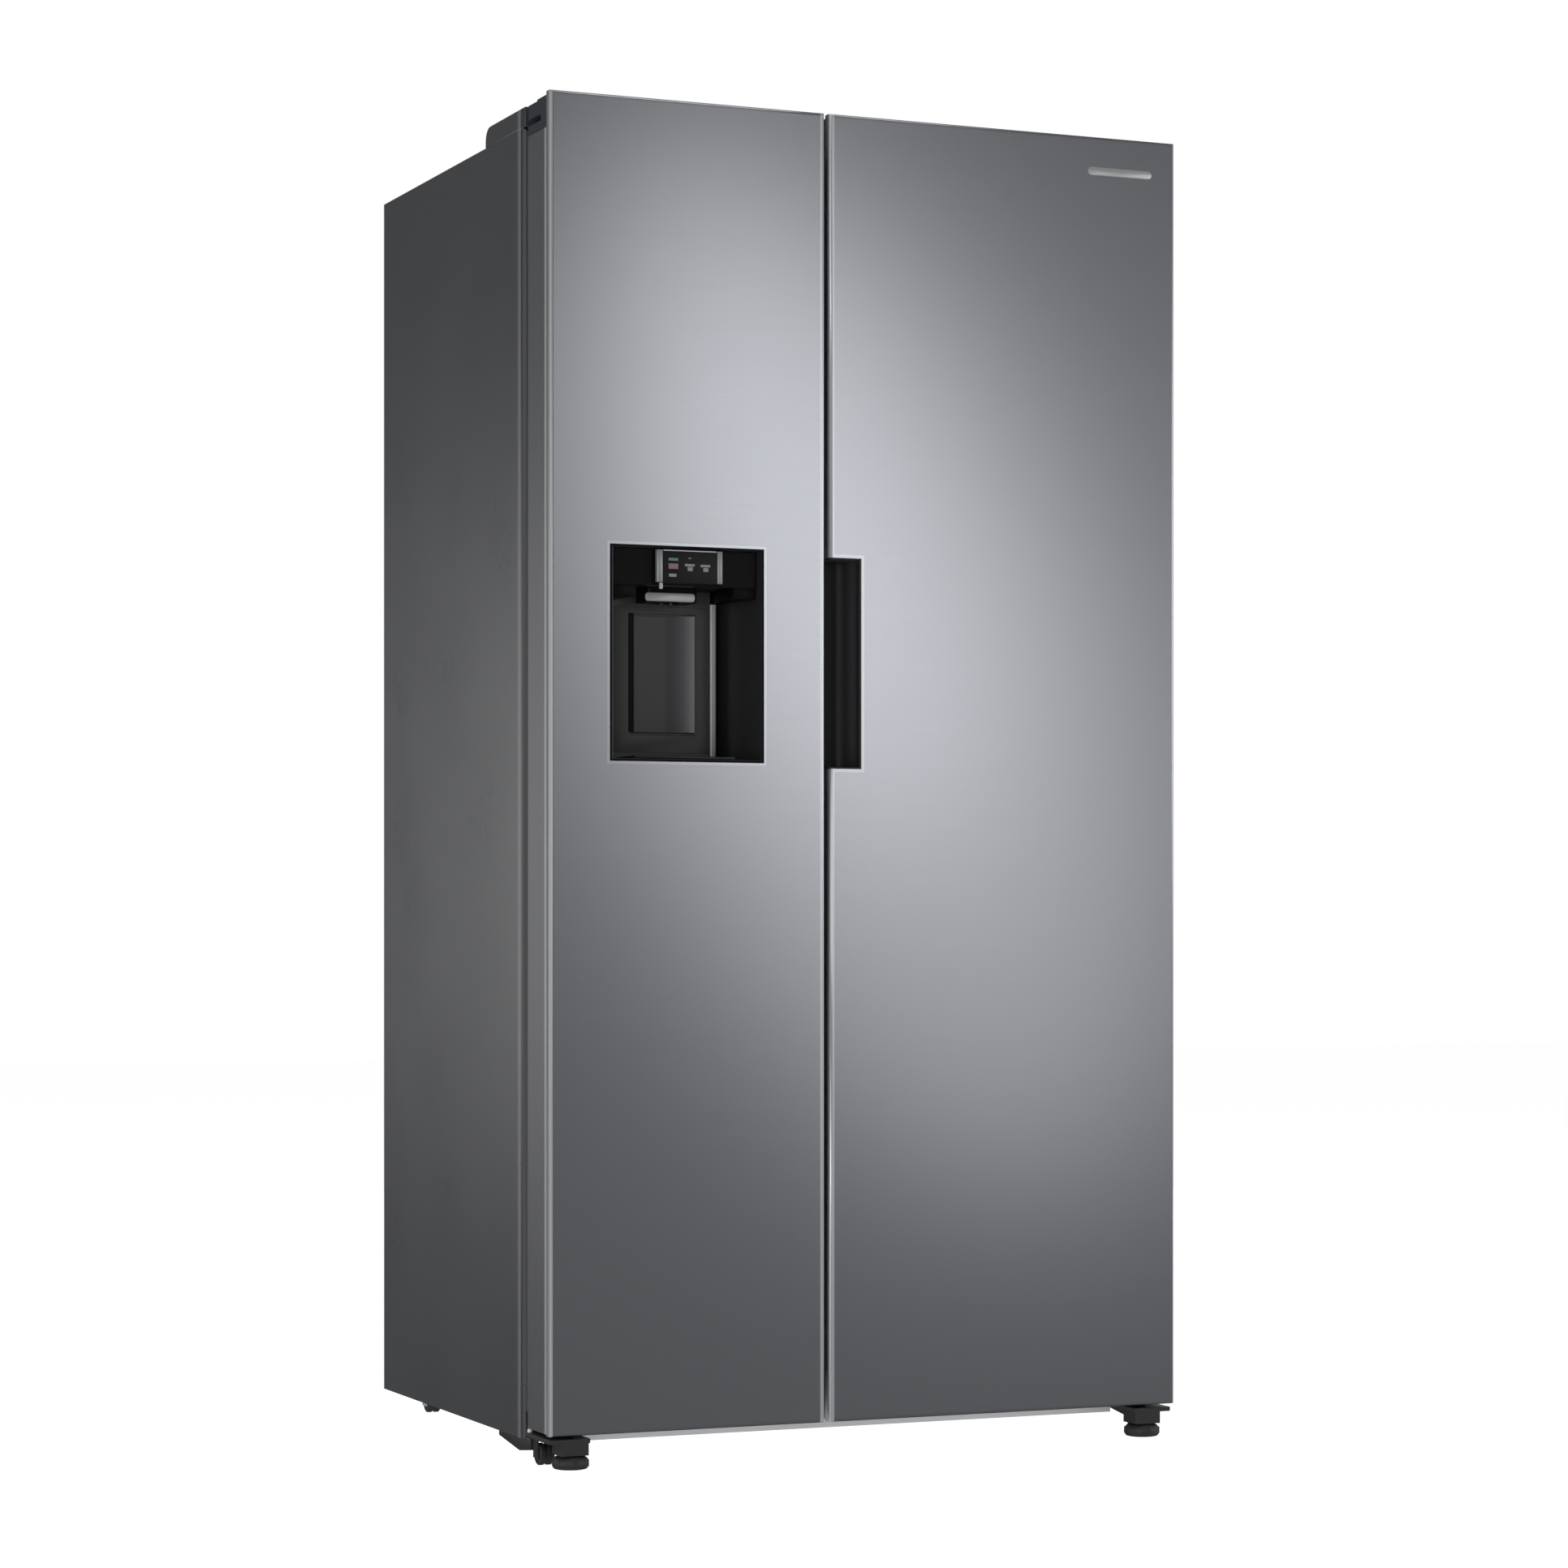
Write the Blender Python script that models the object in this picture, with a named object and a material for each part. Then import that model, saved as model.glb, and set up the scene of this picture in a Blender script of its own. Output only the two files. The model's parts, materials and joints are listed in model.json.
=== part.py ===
"""Side-by-side refrigerator with an in-door ice and water dispenser.

Metres, +Z up, front facing -Y. The origin is on the floor, at the middle of the bounding box.
"""

import math

import bmesh
import bpy
from mathutils import Matrix, Vector

# ---- Driving dimensions -------------------------------------------------------------------------
WIDTH = 0.912
DEPTH = 0.716
HEIGHT = 1.780

SHEET = 0.0012  # steel sheet
LINER = 0.002  # thermoformed plastic liner
FIT = 0.0003  # gap kept between pieces that touch

FRONT = -DEPTH / 2
BACK = DEPTH / 2
CABINET_FRONT = -0.254
CABINET_HALF = WIDTH / 2 - 0.0015
CABINET_TOP = 1.750
CABINET_BOTTOM = 0.030
PANEL_BACK = BACK - 0.0025  # outer face of the rear panel, set in from the wrapper's edge

DOOR_BOTTOM = 0.045
DOOR_BACK = -0.268  # back of the door's frame, where its liner starts
SKIN_RETURN = 0.015  # how far the steel door front folds back round its edges
DOOR_GAP = 0.007
DOOR_GAP_CENTRE = -0.0665
DOOR_OPEN = 125  # degrees, stated in the record

CAVITY_SIDE = 0.4095  # inner face of the liners' outer walls
CAVITY_FLOOR = 0.095
CAVITY_CEILING = 1.697
CAVITY_BACK = 0.300
MULLION_HALF = 0.0245  # half the wall between the two compartments, liner to liner
STEP_FRONT = 0.105  # the liners' raised floor over the machine compartment
STEP_TOP = 0.300
FREEZER_X = (-CAVITY_SIDE, DOOR_GAP_CENTRE - MULLION_HALF)
FRIDGE_X = (DOOR_GAP_CENTRE + MULLION_HALF, CAVITY_SIDE)

MACHINE_FRONT = 0.1465  # riser of the base pan
MACHINE_TOP = 0.2585

HINGE_X = 0.434
HINGE_Y = -0.300
PIN_RADIUS = 0.005
ARM_BOTTOM = 1.7503
ARM_THICK = 0.0032

FOOT_X = 0.419
FOOT_Y = -0.332
FOOT_RADIUS = 0.024
ROLLER_RADIUS = 0.0145
ROLLER_WIDTH = 0.018
AXLE_RADIUS = 0.003
FRONT_ROLLER = (0.4385, -0.285)
REAR_ROLLER = (0.400, 0.300)

RECESS_X = (-0.372, -0.158)  # dispenser opening in the freezer door
RECESS_Z = (0.9182, 1.1986)
RECESS_MID = sum(RECESS_X) / 2
PANEL_X = (-0.3095, -0.2125)
CHUTE = (-0.2675, -0.286, 1.129)  # middle of the ice chute's mouth
PADDLE_AXIS = Vector((RECESS_MID, -0.262, 1.108))
PADDLE_SHAFT = 0.0025
POCKET_RIGHT = -0.017  # handle pocket in the fridge door
POCKET_Z = (0.9115, 1.1914)
POCKET_BACK = -0.3135

SHELF_FRONT = -0.150  # fronts of shelves and drawers, clear of the door bins
BIN_BACK = -0.165  # how far the door bins reach into the cabinet
DUCT_FRONT = 0.243  # cover in front of the evaporator
BORE_SIDES = 24

FAN_CENTRE = Vector((-0.02, 0.245, 0.140))
AUGER_CENTRE = Vector((-0.250, 0.0, 1.440))


# ---- Scene, materials and mesh helpers ----------------------------------------------------------
def clear_scene():
    for obj in list(bpy.data.objects):
        bpy.data.objects.remove(obj, do_unlink=True)


def material(name, colour, roughness, metallic=0.0):
    mat = bpy.data.materials.new(name)
    mat.use_nodes = True
    shader = mat.node_tree.nodes["Principled BSDF"]
    shader.inputs["Base Color"].default_value = (*colour, 1.0)
    shader.inputs["Roughness"].default_value = roughness
    shader.inputs["Metallic"].default_value = metallic
    return mat


def make_finishes():
    return {
        "door_steel": material("door_steel", (0.42, 0.42, 0.43), 0.32, 1.0),
        "cabinet_paint": material("cabinet_paint", (0.10, 0.10, 0.11), 0.45, 0.3),
        "door_side": material("door_side", (0.13, 0.13, 0.14), 0.45),
        "black_gloss": material("black_gloss", (0.012, 0.012, 0.014), 0.15),
        "black_plastic": material("black_plastic", (0.03, 0.03, 0.033), 0.45),
        "grey_paddle": material("grey_paddle", (0.09, 0.09, 0.095), 0.35),
        "white_plastic": material("white_plastic", (0.82, 0.83, 0.84), 0.35),
        "clear_plastic": material("clear_plastic", (0.72, 0.79, 0.83), 0.12),
        "shelf_glass": material("shelf_glass", (0.70, 0.80, 0.78), 0.05),
        "rubber": material("rubber", (0.30, 0.30, 0.31), 0.75),
        "foam": material("foam", (0.78, 0.70, 0.50), 0.95),
        "galvanised": material("galvanised", (0.58, 0.59, 0.60), 0.40, 0.9),
        "sill_paint": material("sill_paint", (0.62, 0.63, 0.64), 0.45, 0.2),
        "copper": material("copper", (0.72, 0.40, 0.25), 0.30, 1.0),
        "compressor_black": material("compressor_black", (0.015, 0.015, 0.015), 0.35, 0.2),
        "aluminium": material("aluminium", (0.70, 0.71, 0.72), 0.35, 1.0),
    }


def box(lo, hi):
    """Closed box between two corners, as a bmesh."""
    bm = bmesh.new()
    bmesh.ops.create_cube(bm, size=1.0)
    lo, hi = Vector(lo), Vector(hi)
    size = hi - lo
    bmesh.ops.transform(bm, matrix=Matrix.Diagonal((*size, 1.0)), verts=bm.verts)
    bmesh.ops.translate(bm, vec=(lo + hi) / 2, verts=bm.verts)
    return bm


def boxes(corners):
    """Several boxes that don't meet, in one bmesh."""
    bm = bmesh.new()
    for lo, hi in corners:
        add(bm, box(lo, hi))
    return bm


def add(bm, other):
    """Moves other's geometry into bm."""
    mesh = bpy.data.meshes.new("piece")
    other.to_mesh(mesh)
    other.free()
    bm.from_mesh(mesh)
    bpy.data.meshes.remove(mesh)


def round_edges(bm, radius, segments, chosen):
    """Bevels the edges for which chosen(middle, direction) is true."""
    edges = []
    for edge in bm.edges:
        a, b = (v.co for v in edge.verts)
        if chosen((a + b) / 2, (b - a).normalized()):
            edges.append(edge)
    bmesh.ops.bevel(
        bm, geom=edges, offset=radius, segments=segments, profile=0.5, affect="EDGES", material=-1
    )
    return bm


def prism(outline, axis, low, high):
    """Extrudes a closed outline along an axis. An outline point is (y, z) for x, (x, z) for y, (x, y) for z."""
    bm = bmesh.new()
    spread = {
        "x": lambda u, v: (low, u, v),
        "y": lambda u, v: (u, low, v),
        "z": lambda u, v: (u, v, low),
    }[axis]
    face = bm.faces.new([bm.verts.new(spread(*point)) for point in outline])
    out = bmesh.ops.extrude_face_region(bm, geom=[face])["geom"]
    along = Vector([(high - low) if axis == name else 0.0 for name in "xyz"])
    moved = [v for v in out if isinstance(v, bmesh.types.BMVert)]
    bmesh.ops.translate(bm, vec=along, verts=moved)
    bmesh.ops.recalc_face_normals(bm, faces=bm.faces)
    return bm


def cylinder(centre, radius, length, axis="z", sides=BORE_SIDES, top_radius=None):
    """Cylinder or cone along an axis, its middle at centre."""
    bm = bmesh.new()
    end = radius if top_radius is None else top_radius
    bmesh.ops.create_cone(
        bm, cap_ends=True, segments=sides, radius1=radius, radius2=end, depth=length
    )
    turn = {
        "z": Matrix.Identity(4),
        "x": Matrix.Rotation(math.pi / 2, 4, "Y"),
        "y": Matrix.Rotation(-math.pi / 2, 4, "X"),
    }[axis]
    bmesh.ops.transform(bm, matrix=Matrix.Translation(centre) @ turn, verts=bm.verts)
    return bm


def lathe(profile, centre, sides=BORE_SIDES):
    """Turns a profile of (radius, z) points, which starts and ends on the axis, round +Z at centre."""
    bm = bmesh.new()
    verts = [bm.verts.new((r, 0.0, z)) for r, z in profile]
    edges = [bm.edges.new(pair) for pair in zip(verts, verts[1:])]
    bmesh.ops.spin(
        bm,
        geom=verts + edges,
        cent=(0, 0, 0),
        axis=(0, 0, 1),
        angle=math.tau,
        steps=sides,
        use_merge=True,
        use_duplicate=False,
    )
    bmesh.ops.remove_doubles(bm, verts=bm.verts, dist=1e-6)
    bmesh.ops.recalc_face_normals(bm, faces=bm.faces)
    bmesh.ops.translate(bm, vec=centre, verts=bm.verts)
    return bm


def tapered(front, back, y_front, y_back):
    """Box whose front and back rectangles differ. Each is ((x0, x1), (z0, z1))."""
    bm = box((front[0][0], y_front, front[1][0]), (front[0][1], y_back, front[1][1]))
    for vert in bm.verts:
        if vert.co.y > (y_front + y_back) / 2:
            vert.co.x = back[0][0] if vert.co.x < sum(front[0]) / 2 else back[0][1]
            vert.co.z = back[1][0] if vert.co.z < sum(front[1]) / 2 else back[1][1]
    return bm


def arc(centre, radius, start, end, steps):
    """Points on an arc, angles in degrees."""
    turn = (end - start) / steps
    return [
        (
            centre[0] + radius * math.cos(math.radians(start + turn * i)),
            centre[1] + radius * math.sin(math.radians(start + turn * i)),
        )
        for i in range(steps + 1)
    ]


class Body:
    """A rigid body: an empty on its joint's axis, which its pieces are parented to."""

    def __init__(self, name, origin=(0.0, 0.0, 0.0), parent=None):
        self.origin = Vector(origin)
        self.empty = bpy.data.objects.new(name + "_pivot", None)
        bpy.context.scene.collection.objects.link(self.empty)
        self.empty.location = self.origin - (parent.origin if parent else Vector())
        if parent:
            self.empty.parent = parent.empty


def piece(name, bm, finish, body, smooth=False):
    """Makes a named object from a bmesh in world coordinates, with its origin at its body's."""
    bmesh.ops.translate(bm, vec=-body.origin, verts=bm.verts)
    mesh = bpy.data.meshes.new(name)
    bm.to_mesh(mesh)
    bm.free()
    mesh.materials.append(finish)
    if smooth:
        mesh.shade_smooth()
        mesh.set_sharp_from_angle(angle=math.radians(35))
    obj = bpy.data.objects.new(name, mesh)
    bpy.context.scene.collection.objects.link(obj)
    obj.parent = body.empty
    return obj


def boolean(obj, bm, operation):
    """Cuts a world-coordinate bmesh from obj, or joins it to obj, with a hidden helper object."""
    mesh = bpy.data.meshes.new(obj.name + "_tool")
    bm.to_mesh(mesh)
    bm.free()
    tool = bpy.data.objects.new(mesh.name, mesh)
    bpy.context.scene.collection.objects.link(tool)
    tool.hide_render = True
    tool.display_type = "WIRE"
    modifier = obj.modifiers.new(operation.title(), "BOOLEAN")
    modifier.operation = operation
    modifier.solver = "EXACT"
    modifier.object = tool


def cut(obj, *shapes):
    for shape in shapes:
        boolean(obj, shape, "DIFFERENCE")


def join(obj, *shapes):
    for shape in shapes:
        boolean(obj, shape, "UNION")


def serpentine(name, start, run, pitch, runs, radius, finish, body):
    """Tube that zigzags in the XZ plane: straight runs along X joined by half turns, upwards."""
    points = []
    for i in range(runs):
        z = start[2] + i * pitch
        ends = (0.0, run) if i % 2 == 0 else (run, 0.0)
        points += [(start[0] + x, start[1], z) for x in ends]
        if i < runs - 1:
            side = 1 if i % 2 == 0 else -1
            bend = arc((start[0] + ends[1], z + pitch / 2), pitch / 2, -90, 90, 6)[1:-1]
            middle = start[0] + ends[1]
            points += [(middle + side * (x - middle), start[1], zz) for x, zz in bend]
    curve = bpy.data.curves.new(name, "CURVE")
    curve.dimensions = "3D"
    curve.bevel_depth = radius
    curve.bevel_resolution = 1
    curve.use_fill_caps = True
    spline = curve.splines.new("POLY")
    spline.points.add(len(points) - 1)
    for target, point in zip(spline.points, points):
        target.co = (*(Vector(point) - body.origin), 1.0)
    curve.materials.append(finish)
    obj = bpy.data.objects.new(name, curve)
    bpy.context.scene.collection.objects.link(obj)
    obj.parent = body.empty
    return obj


# ---- Cabinet ------------------------------------------------------------------------------------
def front_corner(radius_inset):
    """Chooses the cabinet's front vertical edges and its top front edge."""
    y = CABINET_FRONT + radius_inset

    def chosen(middle, direction):
        at_front = abs(middle.y - y) < 1e-5
        vertical = abs(direction.z) > 0.9
        top = abs(direction.x) > 0.9 and middle.z > 1.0
        return at_front and (vertical or top)

    return chosen


def cabinet_wrapper(finish, body):
    """Both sides and the top, folded from one sheet, with a flange round the front."""
    radius = 0.008
    flange = CABINET_HALF - CAVITY_SIDE - LINER - FIT
    outer = box((-CABINET_HALF, CABINET_FRONT, CABINET_BOTTOM), (CABINET_HALF, BACK, CABINET_TOP))
    round_edges(outer, radius, 4, front_corner(0))
    obj = piece("cabinet_wrapper", outer, finish, body, smooth=True)
    half = CABINET_HALF - SHEET
    inner = box(
        (-half, CABINET_FRONT + SHEET, CABINET_BOTTOM - 0.05), (half, BACK + 0.05, CABINET_TOP - SHEET)
    )
    round_edges(inner, radius - SHEET, 4, front_corner(SHEET))
    opening = box(
        (-CABINET_HALF + flange, CABINET_FRONT - 0.05, CABINET_BOTTOM - 0.05),
        (CABINET_HALF - flange, CABINET_FRONT + 0.005, CAVITY_CEILING + LINER + FIT),
    )
    cut(obj, inner, opening)


def step_outline(front, back, floor, ceiling, step_y, step_z):
    """Side view of a cavity whose floor steps up over the machine compartment."""
    return [
        (front, floor),
        (step_y, floor),
        (step_y, step_z),
        (back, step_z),
        (back, ceiling),
        (front, ceiling),
    ]


def cavity(span, front, grow):
    """A compartment's space, grown outwards by grow on every side but the front."""
    outline = step_outline(
        front,
        CAVITY_BACK + grow,
        CAVITY_FLOOR - grow,
        CAVITY_CEILING + grow,
        STEP_FRONT + grow,
        STEP_TOP - grow,
    )
    return prism(outline, "x", span[0] - grow, span[1] + grow)


def insulation(finish, body):
    half = CABINET_HALF - SHEET - FIT
    front = CABINET_FRONT + SHEET + FIT
    base = CABINET_BOTTOM + 0.002
    block = box(
        (-half, front, base), (half, PANEL_BACK - SHEET - FIT, CABINET_TOP - SHEET - FIT)
    )
    round_edges(block, 0.008, 4, front_corner(SHEET + FIT))
    obj = piece("insulation_foam", block, finish, body)
    machine = box(
        (-half - 0.01, MACHINE_FRONT - FIT, base - 0.01), (half + 0.01, BACK, MACHINE_TOP + FIT)
    )
    cut(
        obj,
        machine,
        cavity(FREEZER_X, front - 0.01, LINER + FIT),
        cavity(FRIDGE_X, front - 0.01, LINER + FIT),
    )


def liner(name, span, rail_heights, rail_back, finish, body):
    """Compartment liner, with rails for its shelves and drawers moulded into its side walls."""
    obj = piece(name, cavity(span, CABINET_FRONT, LINER), finish, body)
    cut(obj, cavity(span, CABINET_FRONT - 0.01, 0.0))
    rails = []
    reach, thick = 0.005, 0.006
    for z in rail_heights:
        back = rail_back if z > STEP_TOP else STEP_FRONT - 0.002
        for wall, sign in ((span[0], 1), (span[1], -1)):
            xs = sorted((wall - sign * LINER / 2, wall + sign * reach))
            rails.append(((xs[0], SHELF_FRONT + 0.01, z - thick), (xs[1], back, z)))
    join(obj, boxes(rails))


def base_pan(finish, body):
    """Floor of the cabinet: a plate, a step over the machine compartment, and the rear roller ears."""
    half = CABINET_HALF - SHEET - 2 * FIT
    thick = 0.0015
    rear = PANEL_BACK - SHEET - FIT
    floor = CABINET_BOTTOM + 0.0001
    plate = box((-half, CABINET_FRONT + SHEET + FIT, floor), (half, rear, floor + thick))
    round_edges(plate, 0.008, 4, front_corner(SHEET + FIT))
    obj = piece("cabinet_base_pan", plate, finish, body)
    riser = box((-half, MACHINE_FRONT, floor + thick / 2), (half, MACHINE_FRONT + thick, MACHINE_TOP))
    shelf = box(
        (-half, MACHINE_FRONT + thick / 2, MACHINE_TOP - thick), (half, rear, MACHINE_TOP)
    )
    join(obj, riser, shelf)
    for side in (-1, 1):
        x, y = side * REAR_ROLLER[0], REAR_ROLLER[1]
        join(obj, *roller_fork(x, y, floor + thick / 2))
    post = box(
        (FAN_CENTRE.x + 0.030, FAN_CENTRE.y - 0.010, floor + thick / 2),
        (FAN_CENTRE.x + 0.045, FAN_CENTRE.y + 0.010, FAN_CENTRE.z + 0.012),
    )
    shaft = cylinder(FAN_CENTRE + Vector((0.012, 0, 0)), AXLE_RADIUS, 0.045, "x", 16)
    join(obj, post, shaft)


def roller_fork(x, y, top):
    """Two ears and the axle between them, for one roller."""
    reach = ROLLER_WIDTH / 2
    shapes = [cylinder((x, y, ROLLER_RADIUS), AXLE_RADIUS, ROLLER_WIDTH + 0.006, "x", 16)]
    for side in (-1, 1):
        xs = sorted((x + side * (reach + 0.0008), x + side * (reach + 0.0033)))
        shapes.append(box((xs[0], y - 0.008, 0.0095), (xs[1], y + 0.008, top)))
    return shapes


def roller(name, x, y, finish, parent):
    body = Body(name, (x, y, ROLLER_RADIUS), parent)
    wheel = cylinder((x, y, ROLLER_RADIUS), ROLLER_RADIUS, ROLLER_WIDTH, "x", 32)
    round_edges(wheel, 0.0012, 1, lambda middle, direction: abs(abs(middle.x - x) - ROLLER_WIDTH / 2) < 1e-5)
    obj = piece(name, wheel, finish, body, smooth=True)
    cut(obj, cylinder((x, y, ROLLER_RADIUS), AXLE_RADIUS + 0.0004, ROLLER_WIDTH + 0.01, "x", 16))


def rear_panels(finishes, body):
    half = CABINET_HALF - SHEET - FIT
    lower = CABINET_BOTTOM + 0.004
    split = MACHINE_TOP + 0.002
    panel = box((-half, PANEL_BACK - SHEET, split), (half, PANEL_BACK, CABINET_TOP - SHEET - FIT))
    obj = piece("cabinet_back_panel", panel, finishes["galvanised"], body)
    ribs = [
        ((x - 0.012, PANEL_BACK - SHEET / 2, 0.40), (x + 0.012, PANEL_BACK + 0.002, 1.62))
        for x in (-0.22, 0.0, 0.22)
    ]
    join(obj, boxes(ribs))

    cover = box((-half, PANEL_BACK - SHEET, lower), (half, PANEL_BACK, split - FIT))
    obj = piece("machine_cover", cover, finishes["galvanised"], body)
    slots = []
    for start in (-0.30, 0.10):
        for column in range(2):
            for row in range(9):
                x = start + column * 0.105
                z = 0.065 + row * 0.018
                slots.append(((x, PANEL_BACK - 0.01, z), (x + 0.09, PANEL_BACK + 0.01, z + 0.007)))
    cut(obj, boxes(slots))
    cut(obj, box((0.352, PANEL_BACK - 0.02, 0.165), (0.402, PANEL_BACK + 0.02, 0.205)))
    cut(obj, cylinder((-0.380, PANEL_BACK, 0.195), 0.0105, 0.02, "y"))

    inlet = box((0.3525, BACK - 0.030, 0.1655), (0.4015, BACK, 0.2045))
    obj = piece("mains_inlet", inlet, finishes["black_plastic"], body)
    cut(obj, box((0.362, BACK - 0.020, 0.174), (0.392, BACK + 0.01, 0.196)))
    blades = [
        ((x - 0.001, BACK - 0.024, z - 0.003), (x + 0.001, BACK - 0.006, z + 0.003))
        for x, z in ((0.370, 0.182), (0.377, 0.188), (0.384, 0.182))
    ]
    join(obj, boxes(blades))

    spigot = cylinder((-0.380, BACK - 0.018, 0.195), 0.0095, 0.0355, "y")
    obj = piece("water_inlet", spigot, finishes["white_plastic"], body, smooth=True)
    join(obj, box((-0.398, BACK - 0.052, 0.178), (-0.362, BACK - 0.030, 0.212)))
    cut(obj, cylinder((-0.380, BACK - 0.010, 0.195), 0.005, 0.03, "y"))


def front_trims(finishes, body):
    inner = CABINET_FRONT + SHEET
    gap = LINER + FIT
    mullion = box(
        (FREEZER_X[1] + gap, CABINET_FRONT, CAVITY_FLOOR),
        (FRIDGE_X[0] - gap, inner, CAVITY_CEILING + LINER),
    )
    piece("centre_mullion_cover", mullion, finishes["cabinet_paint"], body)
    half = CAVITY_SIDE + LINER
    sill = box((-half, CABINET_FRONT, 0.024), (half, inner, CAVITY_FLOOR - gap))
    obj = piece("front_sill_rail", sill, finishes["sill_paint"], body)
    join(obj, box((-half, CABINET_FRONT + SHEET / 2, 0.024), (half, CABINET_FRONT + 0.030, 0.0252)))


# ---- Hinges, feet ---------------------------------------------------------------------------------
def side_name(side):
    return "left" if side < 0 else "right"


def capsule(start, end, radius):
    """Outline of a bar with round ends, in the XY plane."""
    direction = math.degrees(math.atan2(end[1] - start[1], end[0] - start[0]))
    tail = arc(start, radius, direction + 90, direction + 270, 10)
    return tail + arc(end, radius, direction - 90, direction + 90, 10)


def upper_hinge(side, finish, body):
    """Arm that reaches from the cabinet's top over the door, with the pin that hangs from it."""
    pin = (side * HINGE_X, HINGE_Y)
    root = (side * 0.388, -0.238)
    arm = prism(capsule(pin, root, 0.012), "z", ARM_BOTTOM, ARM_BOTTOM + ARM_THICK)
    obj = piece(f"upper_hinge_{side_name(side)}", arm, finish, body)
    xs = sorted((side * 0.445, side * 0.362))
    join(obj, box((xs[0], -0.245, ARM_BOTTOM), (xs[1], -0.125, ARM_BOTTOM + ARM_THICK)))
    join(obj, cylinder((*pin, ARM_BOTTOM - 0.008), PIN_RADIUS, 0.020))


def hinge_cover(side, finish, body):
    """Hollow cover over the hinge's plate on the cabinet's top, rounded at its back."""
    low, high = ARM_BOTTOM, 1.7765
    front, back = -0.2575, -0.0965
    radius = 0.018
    outline = [(front, low), (back, low)]
    outline += arc((back - radius, high - radius), radius, 0, 90, 5)
    outline += [(front, high)]
    xs = sorted((side * CABINET_HALF, side * 0.345))
    shell = prism(outline, "x", *xs)
    obj = piece(f"hinge_cover_{side_name(side)}", shell, finish, body)
    wall = 0.002
    hollow = [(front + wall, low - 0.01), (back - wall, low - 0.01)]
    hollow += arc((back - radius, high - radius), radius - wall, 0, 90, 5)
    hollow += [(front + wall, high - wall)]
    cut(obj, prism(hollow, "x", xs[0] + wall, xs[1] - wall))
    slot = sorted((side * 0.432, side * 0.378))
    cut(obj, box((slot[0], front - 0.01, low - 0.01), (slot[1], front + 0.01, low + 0.007)))


def lower_hinge(side, finish, body):
    """Bracket under the door: pin, roller fork and the block that the foot screws into."""
    outer, inner = side * 0.4535, side * 0.372
    xs = sorted((outer, inner))
    plate = box((xs[0], -0.350, 0.034), (xs[1], CABINET_FRONT - FIT, 0.040))
    obj = piece(f"lower_hinge_{side_name(side)}", plate, finish, body)
    flange = box(
        (xs[0], CABINET_FRONT - FIT - 0.003, 0.037), (xs[1], CABINET_FRONT - FIT, 0.066)
    )
    block = box(
        (side * FOOT_X - 0.019, -0.350, 0.018), (side * FOOT_X + 0.019, FOOT_Y + 0.018, 0.037)
    )
    join(obj, flange, block)
    join(obj, cylinder((side * HINGE_X, HINGE_Y, 0.049), PIN_RADIUS, 0.024))
    join(obj, *roller_fork(side * FRONT_ROLLER[0], FRONT_ROLLER[1], 0.037))
    cut(obj, cylinder((side * FOOT_X, FOOT_Y, 0.03), 0.0054, 0.06))


def levelling_foot(side, finish, parent):
    """Threaded stud on a wide flared base."""
    x = side * FOOT_X
    body = Body(f"levelling_foot_{side_name(side)}", (x, FOOT_Y, 0.0), parent)
    profile = [
        (0.0, 0.0),
        (FOOT_RADIUS - 0.004, 0.0),
        (FOOT_RADIUS - 0.001, 0.003),
        (FOOT_RADIUS, 0.008),
        (FOOT_RADIUS - 0.002, 0.013),
        (FOOT_RADIUS - 0.008, 0.0172),
        (0.005, 0.0172),
        (0.005, 0.0435),
        (0.0, 0.0435),
    ]
    piece(
        f"levelling_foot_{side_name(side)}",
        lathe(profile, (x, FOOT_Y, 0.0)),
        finish,
        body,
        smooth=True,
    )


# ---- Doors ----------------------------------------------------------------------------------------
class DoorSpan:
    """The plan of one door. side is -1 for the freezer door, hinged at the left, and 1 for the other."""

    def __init__(self, name, side, gap_edge, cavity_span):
        self.name = name
        self.side = side
        self.outer = side * WIDTH / 2
        self.gap_edge = gap_edge
        self.cavity = cavity_span
        self.wall = cavity_span[0] if side > 0 else cavity_span[1]  # the mullion's side

    def across(self, from_outer, from_gap):
        """x range, inset from the door's outer edge and from its edge at the gap."""
        return tuple(
            sorted((self.outer - self.side * from_outer, self.gap_edge + self.side * from_gap))
        )

    def between(self, from_hinge_wall, from_mullion_wall):
        """x range inside the compartment, inset from its two walls."""
        hinge_wall = self.side * CAVITY_SIDE
        return tuple(
            sorted(
                (
                    hinge_wall - self.side * from_hinge_wall,
                    self.wall + self.side * from_mullion_wall,
                )
            )
        )


def door_skin(span, finish, body):
    """Steel front folded back round all four edges, with softened front edges."""
    radius = 0.005
    xs = span.across(0.0, 0.0)
    back = FRONT + SKIN_RETURN

    def at_front(y):
        return lambda middle, direction: abs(middle.y - y) < 1e-5

    outer = box((xs[0], FRONT, DOOR_BOTTOM), (xs[1], back, HEIGHT))
    round_edges(outer, radius, 3, at_front(FRONT))
    obj = piece(f"{span.name}_door_skin", outer, finish, body, smooth=True)
    thick = 0.001
    inner = box(
        (xs[0] + thick, FRONT + thick, DOOR_BOTTOM + thick), (xs[1] - thick, back + 0.02, HEIGHT - thick)
    )
    round_edges(inner, radius - thick, 3, at_front(FRONT + thick))
    cut(obj, inner)
    return obj


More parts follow.
